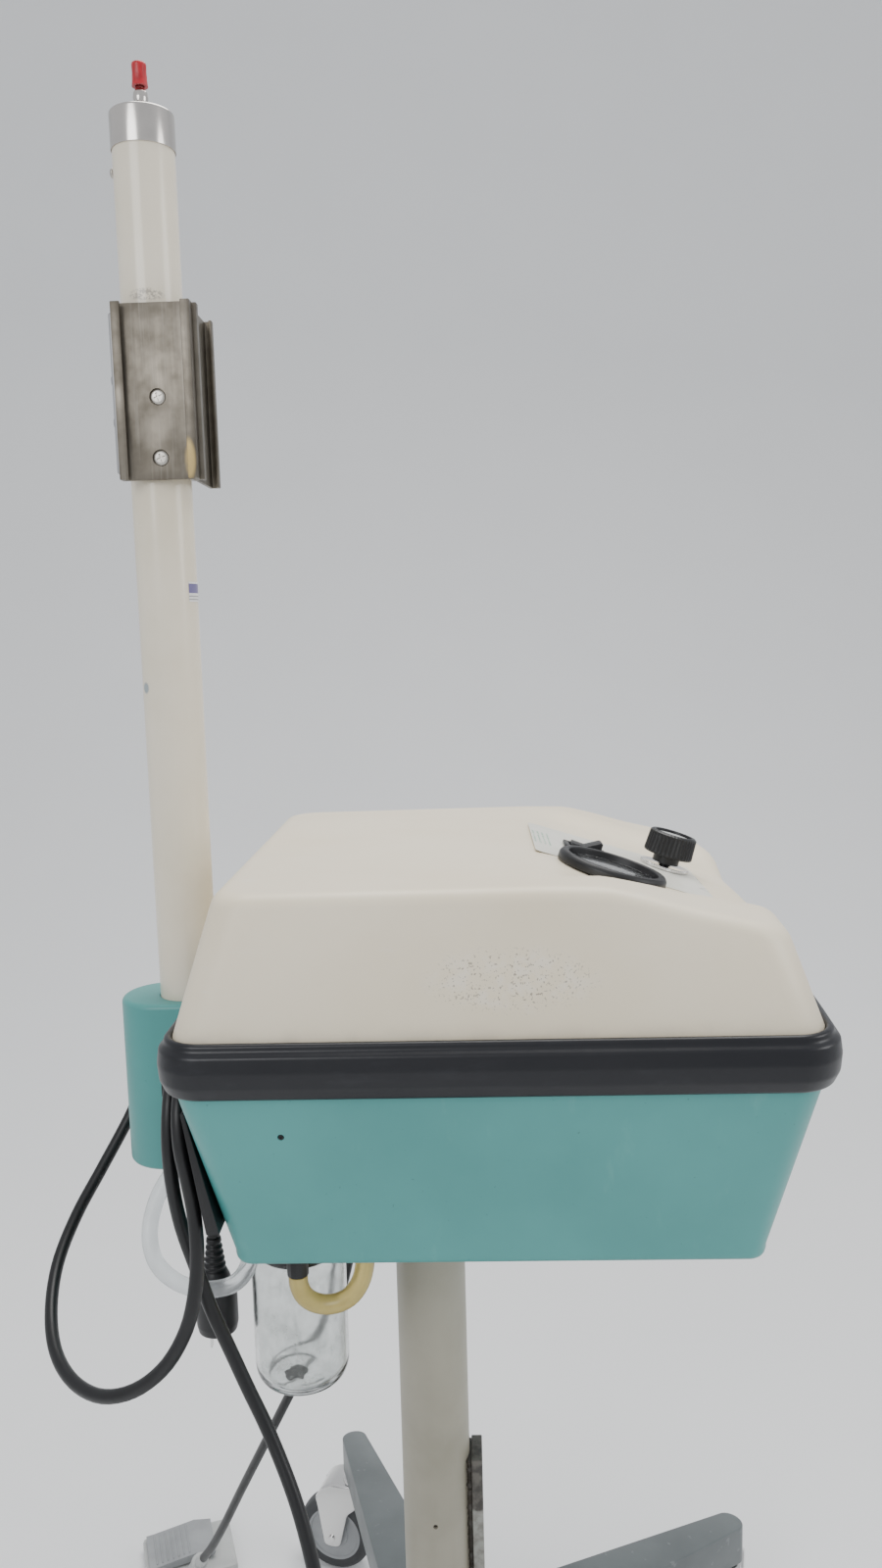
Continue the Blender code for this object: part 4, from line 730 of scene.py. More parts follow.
mains_line, mains_length = smooth_line(from_column(MAINS_ROUTE), 0.008)
mains = soft_tube("mains_lead", mains_line, CORD_D / 2, CORD, ["mains_cord"])
foot_line, foot_length = smooth_line(from_column(FOOT_ROUTE), 0.010)
foot = soft_tube("foot_switch_lead", foot_line, FOOT_LEAD_D / 2, CORD, ["foot_lead"])
hose_line, hose_length = smooth_line(from_column(HOSE_ROUTE[:-2]) + coil_points(), 0.008)
hose = soft_tube("gas_hose_line", hose_line, CORD_D / 2, CORD, ["gas_hose", "gas_hose_coil"])
clear_line, clear_length = smooth_line(from_column(CLEAR_ROUTE), 0.005)
clear = soft_tube("clear_hose_line", clear_line, CLEAR_D / 2, CLEAR_HOSE, ["clear_tube"])
yellow_line, yellow_length = smooth_line(from_column(YELLOW_ROUTE), 0.004)
yellow = soft_tube("yellow_hose_line", yellow_line, YELLOW_D / 2, YELLOW_HOSE,
                   ["yellow_tube"])
for label, length in (("mains", mains_length), ("foot", foot_length), ("gas hose", hose_length),
                      ("clear", clear_length), ("yellow", yellow_length)):
    print(label, "length", round(length, 3))

# %% [markdown]
# ## Repeats
# Ribs, knurls, ticks and pedal bars repeat one small shape round a ring or along a row. A Geometry
# Nodes tree places them: it makes points, moves each to its place, puts the part there and turns it.

# %% A ring and a row of parts
def repeat_tree(kind):
    tree = bpy.data.node_groups.new("repeat_" + kind, "GeometryNodeTree")
    face = tree.interface
    names = (("Part", "NodeSocketObject"), ("Count", "NodeSocketInt"), ("Reach", "NodeSocketFloat"),
             ("Start", "NodeSocketFloat"), ("Span", "NodeSocketFloat"), ("Finish", "NodeSocketMaterial"))
    for label, socket in names:
        face.new_socket(label, in_out="INPUT", socket_type=socket)
    face.new_socket("Parts", in_out="OUTPUT", socket_type="NodeSocketGeometry")
    g = Graph(tree)
    inputs = tree.nodes.new("NodeGroupInput")
    part, count, reach, start, span, finish = (Sock(g, inputs.outputs[label]) for label, _ in names)
    along = start + span * g.node("GeometryNodeInputIndex") / count
    if kind == "ring":
        across = reach * g.node("ShaderNodeMath", (along,), operation="COSINE")
        onward = reach * g.node("ShaderNodeMath", (along,), operation="SINE")
        spot = g.node("ShaderNodeCombineXYZ", {"X": across, "Y": onward})
        turn = g.node("ShaderNodeCombineXYZ", {"Z": along})
    else:
        spot = g.node("ShaderNodeCombineXYZ", {"X": along, "Y": reach})
        turn = g.node("ShaderNodeCombineXYZ")
    points = g.node("GeometryNodePoints", {"Count": count, "Position": spot})
    shape = g.node("GeometryNodeObjectInfo", {"Object": part}, "Geometry")
    placed = g.node("GeometryNodeInstanceOnPoints", {"Points": points, "Instance": shape, "Rotation": turn})
    whole = g.node("GeometryNodeRealizeInstances", {"Geometry": placed})
    painted = g.node("GeometryNodeSetMaterial", {"Geometry": whole, "Material": finish})
    outputs = tree.nodes.new("NodeGroupOutput")
    tree.links.new(painted.socket, outputs.inputs[0])
    return tree


RING, ROW = repeat_tree("ring"), repeat_tree("row")


def repeated(name, tree, part, count, reach, start, span, finish, place, body="unit"):
    """Put count copies of a small bmesh round a ring or along a row, then make it a plain mesh."""
    sample = bpy.data.objects.new(name + "_part", mesh_of(name + "_part", part))
    holder = bpy.data.objects.new(name + "_holder", bpy.data.meshes.new(name + "_holder"))
    for obj in (sample, holder):
        bpy.context.scene.collection.objects.link(obj)
    mod = holder.modifiers.new("repeat", "NODES")
    mod.node_group = tree
    values = dict(Part=sample, Count=count, Reach=reach, Start=start, Span=span, Finish=finish)
    for item in tree.interface.items_tree:
        if item.in_out == "INPUT":
            mod[item.identifier] = values[item.name]
    bpy.context.view_layer.update()
    made = bpy.data.meshes.new_from_object(holder.evaluated_get(bpy.context.evaluated_depsgraph_get()))
    made.transform(place)
    for obj in (holder, sample):
        bpy.data.objects.remove(obj, do_unlink=True)
    made.name = name
    return settle(bpy.data.objects.new(name, made), finish, body)


def half_round(width, height, length, facets=6):
    """A small rounded bar, wide across X and long along Z."""
    outline = [(width / 2 * math.cos(math.pi * k / facets), height * math.sin(math.pi * k / facets))
               for k in range(facets + 1)]
    return extrude(outline, -length / 2, length / 2)


print("repeat trees ready")

# %% [markdown]
# ## The pole and its outlet
# The pole is a two-inch steel tube under glossy cream enamel. A turned chrome cap closes it, and a
# hexagon with a ball and barb stands on the cap, under a wrinkled red vinyl cap.

# %% Pole and cap
POLE = Vector((-0.2100 + COLUMN_X, 0.0, 0.0))
POLE_R, POLE_WALL, POLE_LOW, POLE_TOP = 0.0254, 0.002, 0.7700, 1.6400
tube = [(POLE_R - POLE_WALL, POLE_LOW), (POLE_R, POLE_LOW), (POLE_R, POLE_TOP),
        (POLE_R - POLE_WALL, POLE_TOP)]
piece("pole_tube", lathe(tube, 128, closed=True), CREAM, stands_for=["pole"],
      place=at(*POLE))

cap = rounded([(0.0052, 1.6405), (POLE_R + 0.0004, 1.6405), (POLE_R + 0.0004, 1.6150), (0.0264, 1.6150),
               (0.0264, 1.6446), (0.0052, 1.6446)], 0.0022, 5, closed=True)
piece("turned_cap", lathe(cap, 128, closed=True), CAP_METAL, stands_for=["pole_cap"],
      place=at(*POLE))


def hexagon(flats, low, high):
    """A turned nut blank cut to six flats, with its corners chamfered as on a real nut."""
    corner = flats / math.cos(math.pi / 6)

    def shape(r, a, z):
        local = (a + math.pi / 6) % (math.pi / 3) - math.pi / 6
        flat = flats / math.cos(local)
        reach = min(r, flat)
        return (reach * math.cos(a), reach * math.sin(a), z)

    chamfer = (corner - flats) * 0.9
    drop = chamfer * 0.6
    return lathe([(0.0, high), (corner - chamfer, high), (corner, high - drop), (corner, low + drop),
                  (corner - chamfer, low), (0.0, low)], 72, shape=shape)


barb = rounded([(0.0, 1.6780), (0.0026, 1.6780), (0.0036, 1.6730), (0.0029, 1.6725), (0.0036, 1.6680),
                (0.0029, 1.6675), (0.0036, 1.6640), (0.0056, 1.6612), (0.0062, 1.6570), (0.0056, 1.6532),
                (0.0042, 1.6524), (0.0042, 1.6500), (0.0, 1.6500)], 0.0004, 3)
piece("outlet", join(hexagon(0.0082, 1.6449, 1.6515), (lathe(barb, 48), None)), CAP_METAL,
      stands_for=["outlet_fitting"], place=at(*POLE), sharp=28)


def wrinkled(r, a, z):
    """Soft vinyl gathers in upright folds where it grips the barb and stays round at its crown."""
    grip = max(0.0, 1.0 - abs(z - 1.6745) / 0.0085)
    fold = math.sin(a * 9 + 3 * math.sin(a * 2)) * 0.5 + noise.noise((a * 2.2, z * 260, 1.0)) * 0.9
    reach = r * (1.0 - 0.10 * grip ** 0.6) + (0.00035 * fold * grip if r > 0.003 else 0.0)
    return (reach * math.cos(a), reach * math.sin(a), z)


vinyl = [(0.0, 1.6800), (0.0040, 1.6800), (0.0040, 1.6660), (0.0066, 1.6660)]
vinyl += [(0.0066 - 0.0004 * k / 12, 1.6660 + 0.0162 * k / 12) for k in range(1, 13)]
vinyl += [(0.0057, 1.6836), (0.0044, 1.6844), (0.0020, 1.6846), (0.0, 1.6845)]
piece("red_cap", lathe(vinyl, 72, shape=wrinkled), RED, body="outlet_cap",
      stands_for=["outlet_cap"], place=at(*POLE), sharp=50)
print("pole, cap, outlet and red cap")

# %% [markdown]
# A small sticker wraps the pole below the bracket. It is a thin curved sheet, so it follows the tube,
# and its print is only a block of colour above three grey lines.

# %% Sticker
def sticker_finish():
    f = Finish("sticker", (0.80, 0.80, 0.80), 0.35)
    z, x = f.axis("Z"), f.axis("X")
    block_ink = z.ease(1.2572, 1.2574) * (1.0 - z.ease(1.2652, 1.2654)) * x.ease(-0.1442, -0.1438)
    lines = (z * 2400.0).sum("SINE", z * 2400.0).ease(0.2, 0.5) * (1.0 - z.ease(1.2555, 1.2557))
    tone = f.mix(block_ink, (0.80, 0.80, 0.80), (0.16, 0.14, 0.30))
    f.set(**{"Base Color": f.mix(lines * 0.8 * x.ease(-0.1450, -0.1446), tone, (0.22, 0.22, 0.24))})
    return f.material


def curved_sheet(radius, low, high, start, end, thick, steps=12):
    """A strip of a thin tube wall between two turns, measured from -Y towards +X in degrees."""
    bm = bmesh.new()
    rows = []
    for r in (radius, radius + thick):
        for z in (low, high):
            rows.append([bm.verts.new((r * math.sin(math.radians(start + (end - start) * k / steps)),
                                       -r * math.cos(math.radians(start + (end - start) * k / steps)), z))
                         for k in range(steps + 1)])
    inner_low, inner_high, outer_low, outer_high = rows
    for one, two in ((inner_low, inner_high), (inner_high, outer_high), (outer_high, outer_low),
                     (outer_low, inner_low)):
        for k in range(steps):
            bm.faces.new((one[k], one[k + 1], two[k + 1], two[k]))
    for k in (0, steps):
        bm.faces.new([row[k] for row in (inner_low, inner_high, outer_high, outer_low)])
    return bm


sticker = curved_sheet(POLE_R + 0.0001, 1.2500, 1.2668, 58, 105, 0.00015)
piece("pole_sticker", sticker, sticker_finish(), place=at(*POLE))
print("sticker from 1.2500 to 1.2668 up the pole")

# %% [markdown]
# A cross-recess screw is a turned head with a cross-shaped cut. The cut is made once with two bars and
# a Boolean, and every screw on the unit is a copy of that head at its own size.

# %% Cross-recess screws
def evaluated(obj):
    bpy.context.view_layer.update()
    mesh = bpy.data.meshes.new_from_object(obj.evaluated_get(bpy.context.evaluated_depsgraph_get()))
    bm = bmesh.new()
    bm.from_mesh(mesh)
    bpy.data.meshes.remove(mesh)
    bpy.data.objects.remove(obj, do_unlink=True)
    return bm


def as_object(name, bm):
    obj = bpy.data.objects.new(name, mesh_of(name, bm))
    bpy.context.scene.collection.objects.link(obj)
    return obj


def carve(bm, *tools):
    """Cut bmeshes out of one with exact Booleans."""
    body = as_object("work", bm)
    helpers = []
    for tool in tools:
        helper = as_object("tool", tool)
        mod = body.modifiers.new("cut", "BOOLEAN")
        mod.operation = "DIFFERENCE"
        mod.solver = "EXACT"
        mod.object = helper
        helpers.append(helper)
    made = evaluated(body)
    for helper in helpers:
        bpy.data.objects.remove(helper, do_unlink=True)
    return made


def screw_head(radius, height):
    dome = [(0.0, height), (radius * 0.75, height), (radius, height * 0.35), (radius, 0.0), (0.0, 0.0)]
    bars = [moved(block((radius * 1.15, radius * 0.24, height * 1.4)), at(0, 0, height, turned(turn, "Z")))
            for turn in (20, 110)]
    return carve(lathe(rounded(dome, radius * 0.25, 3), 40), *bars)


print("screw heads are cut by two bars")

# %% [markdown]
# ## The channel bracket
# Two lipped channels stand on a bored block that grips the pole. Each is one extruded section with
# its edges broken, so it catches light along every lip.

# %% Bracket
CHANNEL_LOW, CHANNEL_TOP = 1.3490, 1.4890


SCREW_HEIGHTS = {"upper": 1.4150, "lower": 1.3665}
SIDE_X, SCREW_SHIFT = -0.2020 + COLUMN_X, 0.0010


def channel():
    """The section's half, wide across X and deep along -Y, is mirrored and raised."""
    half, lip, depth, web, edge, wall = 0.0320, 0.0245, 0.0098, 0.0030, 0.0026, 0.0034
    right_side = [(half, 0), (half, depth), (lip, depth), (lip, depth - edge), (half - wall, depth - edge),
                  (half - wall, web)]
    section = right_side + [(-x, y) for x, y in reversed(right_side)]
    return extrude([(x, -y) for x, y in section], CHANNEL_LOW, CHANNEL_TOP, 0.0005, 2)


recess = [(0.0, 0.02), (0.0068, 0.02), (0.0068, 0.0), (0.0, 0.0)]
recesses = [moved(lathe(recess, 64), at(SCREW_SHIFT, -0.0013, height, LEAN))
            for height in SCREW_HEIGHTS.values()]
piece("side_channel", carve(channel(), *recesses), PLATE, "channel_bracket",
      ["channel_side"], at(SIDE_X, -0.0303, 0))
piece("front_channel", channel(), PLATE, "channel_bracket", ["channel_front"],
      at(POLE.x + 0.0333, 0.0030, 0, turned(90, "Z")))
for label, height in SCREW_HEIGHTS.items():
    piece(f"{label}_channel_screw", screw_head(0.0063, 0.0016), SCREW, "channel_bracket",
          [f"channel_screw_{label}"], at(SIDE_X + SCREW_SHIFT, -0.0316, height, LEAN))
piece("grip_block", refined("clamp_block", 0.0006), CASTING, "channel_bracket",
      ["clamp_block"])
print("bracket between", CHANNEL_LOW, "and", CHANNEL_TOP)

# %% [markdown]
# ## The housing
# Both shells are lofts: rounded rectangles stacked up the walls, then a grid over the top. The roof is
# flat at the back; in front it sinks between two raised cheeks to make the sloping control panel.
# The upper edge is a soft curve a centimetre wide, and the front bows outward.

# %% Housing outlines
RIM, RIM_CORNER = (-0.1715, 0.3050, 0.2264), 0.0240
SHOULDER = (-0.1430, 0.2850, 0.1980)
FLOOR_RIM, FLOOR_CORNER = (-0.1400, 0.2680, 0.1900), 0.0150
UPPER_BASE, SKIRT_TOP, SKIRT_LOW, LOWER_TOP, BOX_BASE = 0.9182, 0.9360, 0.8950, 0.9175, 0.7480
BOX_TOP, PANEL_X = 1.0370, 0.1050
PANEL_SLOPE = math.atan(0.311)
RIM_BOW, FLOOR_BOW = 0.012, 0.006
CHEEK = ((-0.200, 1.0350), (0.100, 1.0375), (0.143, 1.0365), (0.1705, 1.0296), (0.2003, 1.0205),
         (0.2327, 1.0125), (0.2673, 1.0040), (0.2800, 0.9990), (0.3100, 0.9870))


def rim_runs(rim, corner, bow, x_cuts, y_cuts, arc=8):
    """A rounded rectangle in four runs, its front bowed out at the middle."""
    rear, front, half = rim
    lx, hx, ly, hy = rear + corner, front - corner, -half + corner, half - corner
    xs = [lx + (hx - lx) * k / x_cuts for k in range(1, x_cuts)]
    ys = [ly + (hy - ly) * k / y_cuts for k in range(1, y_cuts)]

    def turn(cx, cy, start, skip=False):
        return [(cx + corner * math.cos(math.radians(start + 45 * k / arc)),
                 cy + corner * math.sin(math.radians(start + 45 * k / arc))) for k in range(skip, arc + 1)]

    runs = [turn(lx, ly, 225) + [(x, -half) for x in xs] + turn(hx, ly, 270),
            turn(hx, ly, 315) + [(front, y) for y in ys] + turn(hx, hy, 0),
            turn(hx, hy, 45) + [(x, half) for x in reversed(xs)] + turn(lx, hy, 90),
            turn(lx, hy, 135) + [(rear, y) for y in reversed(ys)] + turn(lx, ly, 180)]
    return [[(x - bow * max(0.0, (x - rear) / (front - rear)) ** 3 * (y / half) ** 2, y) for x, y in run]
            for run in runs]


def around(runs):
    return [p for run in runs for p in run[:-1]]


def inset(rim, by):
    return (rim[0] + by, rim[1] - by, rim[2] - by)


print("rim", RIM, "and floor", FLOOR_RIM, "as rear, front and half width")


# %% Height of the roof
def eased(t):
    t = min(1.0, max(0.0, t))
    return t * t * (3 - 2 * t)


def cheek_height(x):
    """The polyline of cheek heights, averaged over a centimetre so its bends are soft."""
    def raw(v):
        for (xa, za), (xb, zb) in zip(CHEEK, CHEEK[1:]):
            if v <= xb:
                return za + (zb - za) * (v - xa) / (xb - xa)
        return CHEEK[-1][1]
    return sum(raw(x + d) for d in (-0.006, -0.003, 0.0, 0.003, 0.006)) / 5


def roof_height(x, y):
    cheek = cheek_height(x)
    panel = BOX_TOP - math.tan(PANEL_SLOPE) * (x - PANEL_X)
    soft = 0.0035
    drop = cheek - panel
    if drop <= -soft:
        return cheek
    drop = drop if drop > soft else (drop + soft) ** 2 / (4 * soft)
    flat_half = 0.128 - 0.045 * (x - PANEL_X) / 0.17
    return cheek - drop * (1.0 - eased((abs(y) - flat_half) / 0.040))


print("roof is", round(roof_height(0.0, 0.0), 4), "high at the back,", round(roof_height(0.25, 0.0), 4),
      "on the panel and", round(roof_height(0.25, 0.19), 4), "on a cheek")


# %% Lofts
def filled_grid(runs):
    """Rows of points that fill four boundary runs evenly."""
    south, east, north, west = runs[0], runs[1], runs[2][::-1], runs[3][::-1]
    nu, nv = len(south) - 1, len(east) - 1
    return [[tuple((1 - j / nv) * south[i][k] + j / nv * north[i][k] + (1 - i / nu) * west[j][k]
                   + i / nu * east[j][k] - (1 - i / nu) * ((1 - j / nv) * south[0][k] + j / nv * north[0][k])
                   - i / nu * ((1 - j / nv) * south[-1][k] + j / nv * north[-1][k]) for k in (0, 1))
             for i in range(nu + 1)] for j in range(nv + 1)]


def lofted(levels, roof_runs, height):
    """Walls through the levels and a grid on top, then given the wall's thickness."""
    bm = bmesh.new()
    rings = [[bm.verts.new(p) for p in level] for level in levels]
    grid = filled_grid(roof_runs)
    verts = [[bm.verts.new((x, y, height(x, y))) for x, y in row] for row in grid]
    last = len(grid) - 1, len(grid[0]) - 1
    edge = [verts[0][i] for i in range(last[1])] + [verts[j][last[1]] for j in range(last[0])]
    edge += [verts[last[0]][i] for i in range(last[1], 0, -1)] + [verts[j][0] for j in range(last[0], 0, -1)]
    for low, high in zip(rings, rings[1:] + [edge]):
        bridge(bm, low, high)
    for one, two in zip(verts, verts[1:]):
        for i in range(last[1]):
            bm.faces.new((one[i], one[i + 1], two[i + 1], two[i]))
    obj = as_object("shell", bm)
    mod = obj.modifiers.new("wall", "SOLIDIFY")
    mod.thickness = 0.003
    mod.offset = -1.0
    return evaluated(obj)


print("loft words ready")


# %% Places on the panel
def panel_place(along, across, out, turn=0.0):
    c, s = math.cos(PANEL_SLOPE), math.sin(PANEL_SLOPE)
    spot = Vector((COLUMN_X + PANEL_X + along * c + out * s, across, BOX_TOP - along * s + out * c))
    return (Matrix.Translation(spot) @ Matrix.Rotation(PANEL_SLOPE, 4, "Y")
            @ Matrix.Rotation(math.radians(turn), 4, "Z"))


GAUGE, KNOB, SWITCH = (0.0575, -0.0700), (0.1210, 0.0400), (0.0420, 0.0040)
SWITCH_HOLE = (0.0300, 0.0190)


def drill(radius, place, reach=0.02):
    """A round cutter that reaches to both sides of its place."""
    return moved(lathe([(0.0, reach), (radius, reach), (radius, -reach), (0.0, -reach)], 64), place)


print("gauge at", tuple(round(v, 3) for v in panel_place(*GAUGE, 0.0).translation))


# %% Upper shell
def upper_levels(cuts=36):
    base = around(rim_runs(RIM, RIM_CORNER, RIM_BOW, cuts, cuts))
    edge = around(rim_runs(SHOULDER, 0.028, RIM_BOW, cuts, cuts))
    top_runs = rim_runs(inset(SHOULDER, 0.010), 0.022, RIM_BOW, cuts, cuts)
    levels = [[(x, y, z) for x, y in base] for z in (UPPER_BASE, SKIRT_TOP - 0.004, SKIRT_TOP)]
    for t in [k / 7 for k in range(7)]:
        level = []
        for (bx, by), (ex, ey), (tx, ty) in zip(base, edge, around(top_runs)):
            corner = Vector((ex, ey, roof_height(ex, ey)))
            foot = Vector((bx, by, SKIRT_TOP))
            low = corner + (foot - corner).normalized() * 0.011
            high = Vector((tx, ty, roof_height(tx, ty)))
            level.append(tuple(low * (1 - t) ** 2 + corner * 2 * t * (1 - t) + high * t * t))
        levels.append(level)
    return levels, top_runs


levels, top_runs = upper_levels()
upper = moved(lofted(levels, top_runs, roof_height), at(COLUMN_X, 0, 0))
cutters = (drill(0.0360, panel_place(*GAUGE, 0.0)), drill(0.0060, panel_place(*KNOB, 0.0)),
           moved(block((*SWITCH_HOLE, 0.04)), panel_place(*SWITCH, 0.0)))
piece("cream_housing", carve(upper, *cutters), SHELL, stands_for=["upper_shell"],
      sharp=38)
print("upper shell with", len(levels), "levels")

# %% Lower shell
SIDE_SCREW_X, SIDE_SCREW_Z = -0.094 + COLUMN_X, 0.8630
FLOOR_ROUND = 0.010
side = around(rim_runs(FLOOR_RIM, FLOOR_CORNER, FLOOR_BOW, 24, 24))
rim = around(rim_runs(RIM, RIM_CORNER, RIM_BOW, 24, 24))
floor_runs = rim_runs(inset(FLOOR_RIM, 0.006), FLOOR_CORNER - 0.006, FLOOR_BOW, 24, 24)
levels = [[(x, y, z) for x, y in rim] for z in (LOWER_TOP, SKIRT_LOW + 0.002, SKIRT_LOW)]
for t in [k / 5 for k in range(1, 5)]:
    z = SKIRT_LOW + (BOX_BASE + FLOOR_ROUND - SKIRT_LOW) * t
    levels.append([(rx + (sx - rx) * t, ry + (sy - ry) * t, z) for (rx, ry), (sx, sy) in zip(rim, side)])
for t in [k / 5 for k in range(5)]:
    z = BOX_BASE + FLOOR_ROUND * (1 - t) ** 2 + 0.0002 * t
    levels.append([(sx + (fx - sx) * t * t, sy + (fy - sy) * t * t, z)
                   for (sx, sy), (fx, fy) in zip(side, around(floor_runs))])
lower = moved(lofted(levels, floor_runs, lambda x, y: BOX_BASE), at(COLUMN_X, 0, 0))
quarter = turned(90, "Y")
holes = [drill(0.0328, at(COLUMN_X, 0, BOX_BASE)),
         drill(0.0060, at(-0.1440 + COLUMN_X, -0.0620, 0.7760, quarter)),
         drill(0.0084, at(-0.1650 + COLUMN_X, 0.0760, 0.8560, quarter)),
         drill(0.0084, at(-0.0720 + COLUMN_X, 0.1000, BOX_BASE)),
         drill(0.0050, at(-0.0500 + COLUMN_X, -0.1150, BOX_BASE))]
holes += [drill(0.0024, at(SIDE_SCREW_X, s * 0.2170, SIDE_SCREW_Z, LEAN)) for s in (-1, 1)]
piece("teal_housing", carve(lower, *holes), TEAL, stands_for=["lower_shell"], sharp=38)
# The side screws are black as painted shade: each stands for a screw down in its hole, which shows as a dark
# dot.
for s, label in ((-1, "near"), (1, "far")):
    piece(f"{label}_side_screw", screw_head(0.0021, 0.0010), BLACK,
          place=at(SIDE_SCREW_X, s * 0.2172, SIDE_SCREW_Z, turned(-90 * s, "X")))
print("lower shell with", len(levels), "levels")

# %% [markdown]
# A rubber bumper runs round the joint of the shells. It is one profile carried round the rim, with a
# thin lip standing at its top edge.

# %% Bumper
def swept(profile):
    """A closed profile of (outward, height) points carried round the rim of the housing."""
    bm = bmesh.new()
    rings = []
    for out, z in profile:
        loop = around(rim_runs(inset(RIM, -out), RIM_CORNER + out, RIM_BOW, 30, 30))
        rings.append([bm.verts.new((x + COLUMN_X, y, z)) for x, y in loop])
    for one, two in zip(rings, rings[1:] + rings[:1]):
        bridge(bm, one, two)
    return bm


bumper = rounded([(0.0006, 0.8968), (0.0006, 0.9364), (0.0030, 0.9378), (0.0060, 0.9364), (0.0066, 0.9322),
                  (0.0104, 0.9290), (0.0118, 0.9180), (0.0108, 0.9060), (0.0070, 0.8975), (0.0030, 0.8955)],
                 0.0016, 4, closed=True)
piece("rim_bumper", swept(bumper), BUMPER, stands_for=["bumper"], sharp=50)
print("bumper from a profile of", len(bumper), "points")

# %% [markdown]
# The pole drops into an upright boss behind the housing, moulded in the same teal plastic and bored
# for the tube. Its ends are well rounded, and a cutter shaped like the housing's rear wall trims it.

# %% Pole socket
SOCKET_X, SOCKET_R, SOCKET_LOW, SOCKET_TOP = -0.2330, 0.0370, 0.7520, 0.9036
LEDGE_X, LEDGE_Z, CLEAR = -0.1836, 0.8946, 0.0008
outline = []
for k in range(49):
    a = math.radians(90 + 180 * k / 48)
    outline.append((SOCKET_X + COLUMN_X + SOCKET_R * math.cos(a), SOCKET_R * math.sin(a)))
outline += [(-0.1000 + COLUMN_X, -SOCKET_R), (-0.1000 + COLUMN_X, SOCKET_R)]
boss = extrude(outline, SOCKET_LOW, SOCKET_TOP, 0.0045, 4)
bore = drill(POLE_R + 0.0006, at(POLE.x, 0, 0.83), 0.12)
housing = [(FLOOR_RIM[0] - CLEAR, 0.73), (FLOOR_RIM[0] - CLEAR, BOX_BASE + FLOOR_ROUND),
           (RIM[0] - CLEAR, SKIRT_LOW), (RIM[0] - CLEAR, LEDGE_Z), (LEDGE_X, LEDGE_Z), (LEDGE_X, 0.93),
           (-0.05, 0.93), (-0.05, 0.73)]
housing = moved(extrude(housing, -0.08, 0.08), at(COLUMN_X, 0, 0, LEAN))
piece("boss_for_pole", carve(boss, bore, housing), TEAL, stands_for=["pole_socket"],
      sharp=38)
print("boss from", SOCKET_LOW, "to", SOCKET_TOP)

# %% [markdown]
# ## The control panel
# A pale printed label lies on the sloping panel. On it stand a gauge in a black ring, a rocker switch
# and a ribbed knob over a knurled chrome washer.

# %% Panel label
def label_finish():
    f = Finish("panel_label", (0.70, 0.69, 0.62), 0.35)
    x, y = f.axis("X"), f.axis("Y")
    cloud = f.noise(40.0, 4.0)

    def patch(cx, cy, hx, hy):
        return (hx - x.apart(cx)).ease(0.0, 0.0004) * (hy - y.apart(cy)).ease(0.0, 0.0004)

    wave = x * 1500.0
    letters = y * 3100.0 + f.noise(700.0, 1.0) * 9.0
    script = wave.sum("SINE", wave).ease(0.2, 0.5) * letters.sum("SINE", letters).ease(-0.3, 0.0)
    green = (patch(0.158, 0.010, 0.008, 0.030) + patch(0.233, -0.012, 0.006, 0.018)) * script
    black = patch(0.300, 0.018, 0.004, 0.016) * script
    diamond = 0.009 - x.apart(0.300) - y.apart(-0.022)
    black = (black + diamond.ease(0.0, 0.0005) * (1.0 - diamond.ease(0.0012, 0.0017))).clamp()
    tone = f.mix(cloud.ease(0.3, 0.8), (0.73, 0.72, 0.65), (0.66, 0.65, 0.57))
    tone = f.mix((green * 0.85).clamp(), tone, (0.05, 0.30, 0.17))
    tone = f.mix((black * 0.9).clamp(), tone, (0.03, 0.03, 0.03))
    f.set(**{"Base Color": tone, "Roughness": (0.28 + cloud * 0.2).clamp(),
             "Normal": f.bump(cloud, 0.05, 0.0005)})
    return f.material


corners = [(-0.006, -0.0620), (0.150, -0.0620), (0.150, 0.0780), (-0.006, 0.0780)]
sheet = extrude(rounded(corners, 0.006, 4, closed=True), 0.0002, 0.0005)
gaps = (drill(0.0440, at(*GAUGE, 0), 0.01), drill(0.0062, at(*KNOB, 0), 0.01),
        moved(block((*SWITCH_HOLE, 0.02)), at(*SWITCH, 0)))
piece("panel_label", carve(sheet, *gaps), label_finish(), place=panel_place(0, 0, 0))
print("label with", len(gaps), "openings")

# %% Gauge
def dial_finish():
    f = Finish("dial_face", (0.74, 0.74, 0.71), 0.45)
    fade = f.noise(90.0, 4.0)
    f.set(**{"Base Color": f.mix(fade.ease(0.35, 0.8), (0.76, 0.76, 0.73), (0.66, 0.66, 0.61)),
             "Roughness": (0.38 + fade * 0.2).clamp()})
    return f.material


INK = plain_finish("dial_ink", (0.02, 0.02, 0.022), 0.5, shade=0.1)
gauge_at = panel_place(*GAUGE, 0.0)
case = rounded([(0.0, -0.0030), (0.0325, -0.0030), (0.0325, 0.0020), (0.0350, 0.0020), (0.0350, -0.0300),
                (0.0080, -0.0300), (0.0080, -0.0420), (0.0, -0.0420)], 0.0006, 3)
piece("gauge_cup", lathe(case, 96), BLACK, stands_for=["gauge_case"], place=gauge_at)
bezel = rounded([(0.0353, 0.0010), (0.0353, 0.0030), (0.0370, 0.0034), (0.0380, 0.0094), (0.0400, 0.0098),
                 (0.0430, 0.0096), (0.0452, 0.0068), (0.0455, 0.0010)], 0.0012, 4, closed=True)
piece("gauge_ring", lathe(bezel, 128, closed=True), BLACK, stands_for=["gauge_bezel"],
      place=gauge_at)
WINDOW_R, DOME_SWING = 0.0366, 0.30
lens = []
for k in range(9):
    swing = DOME_SWING * k / 8
    lens.append((WINDOW_R * math.sin(swing) / math.sin(DOME_SWING), 0.0044 + 0.0008 * math.cos(swing * 5.2)))
lens += [(WINDOW_R, 0.0034), (0.0, 0.0034)]
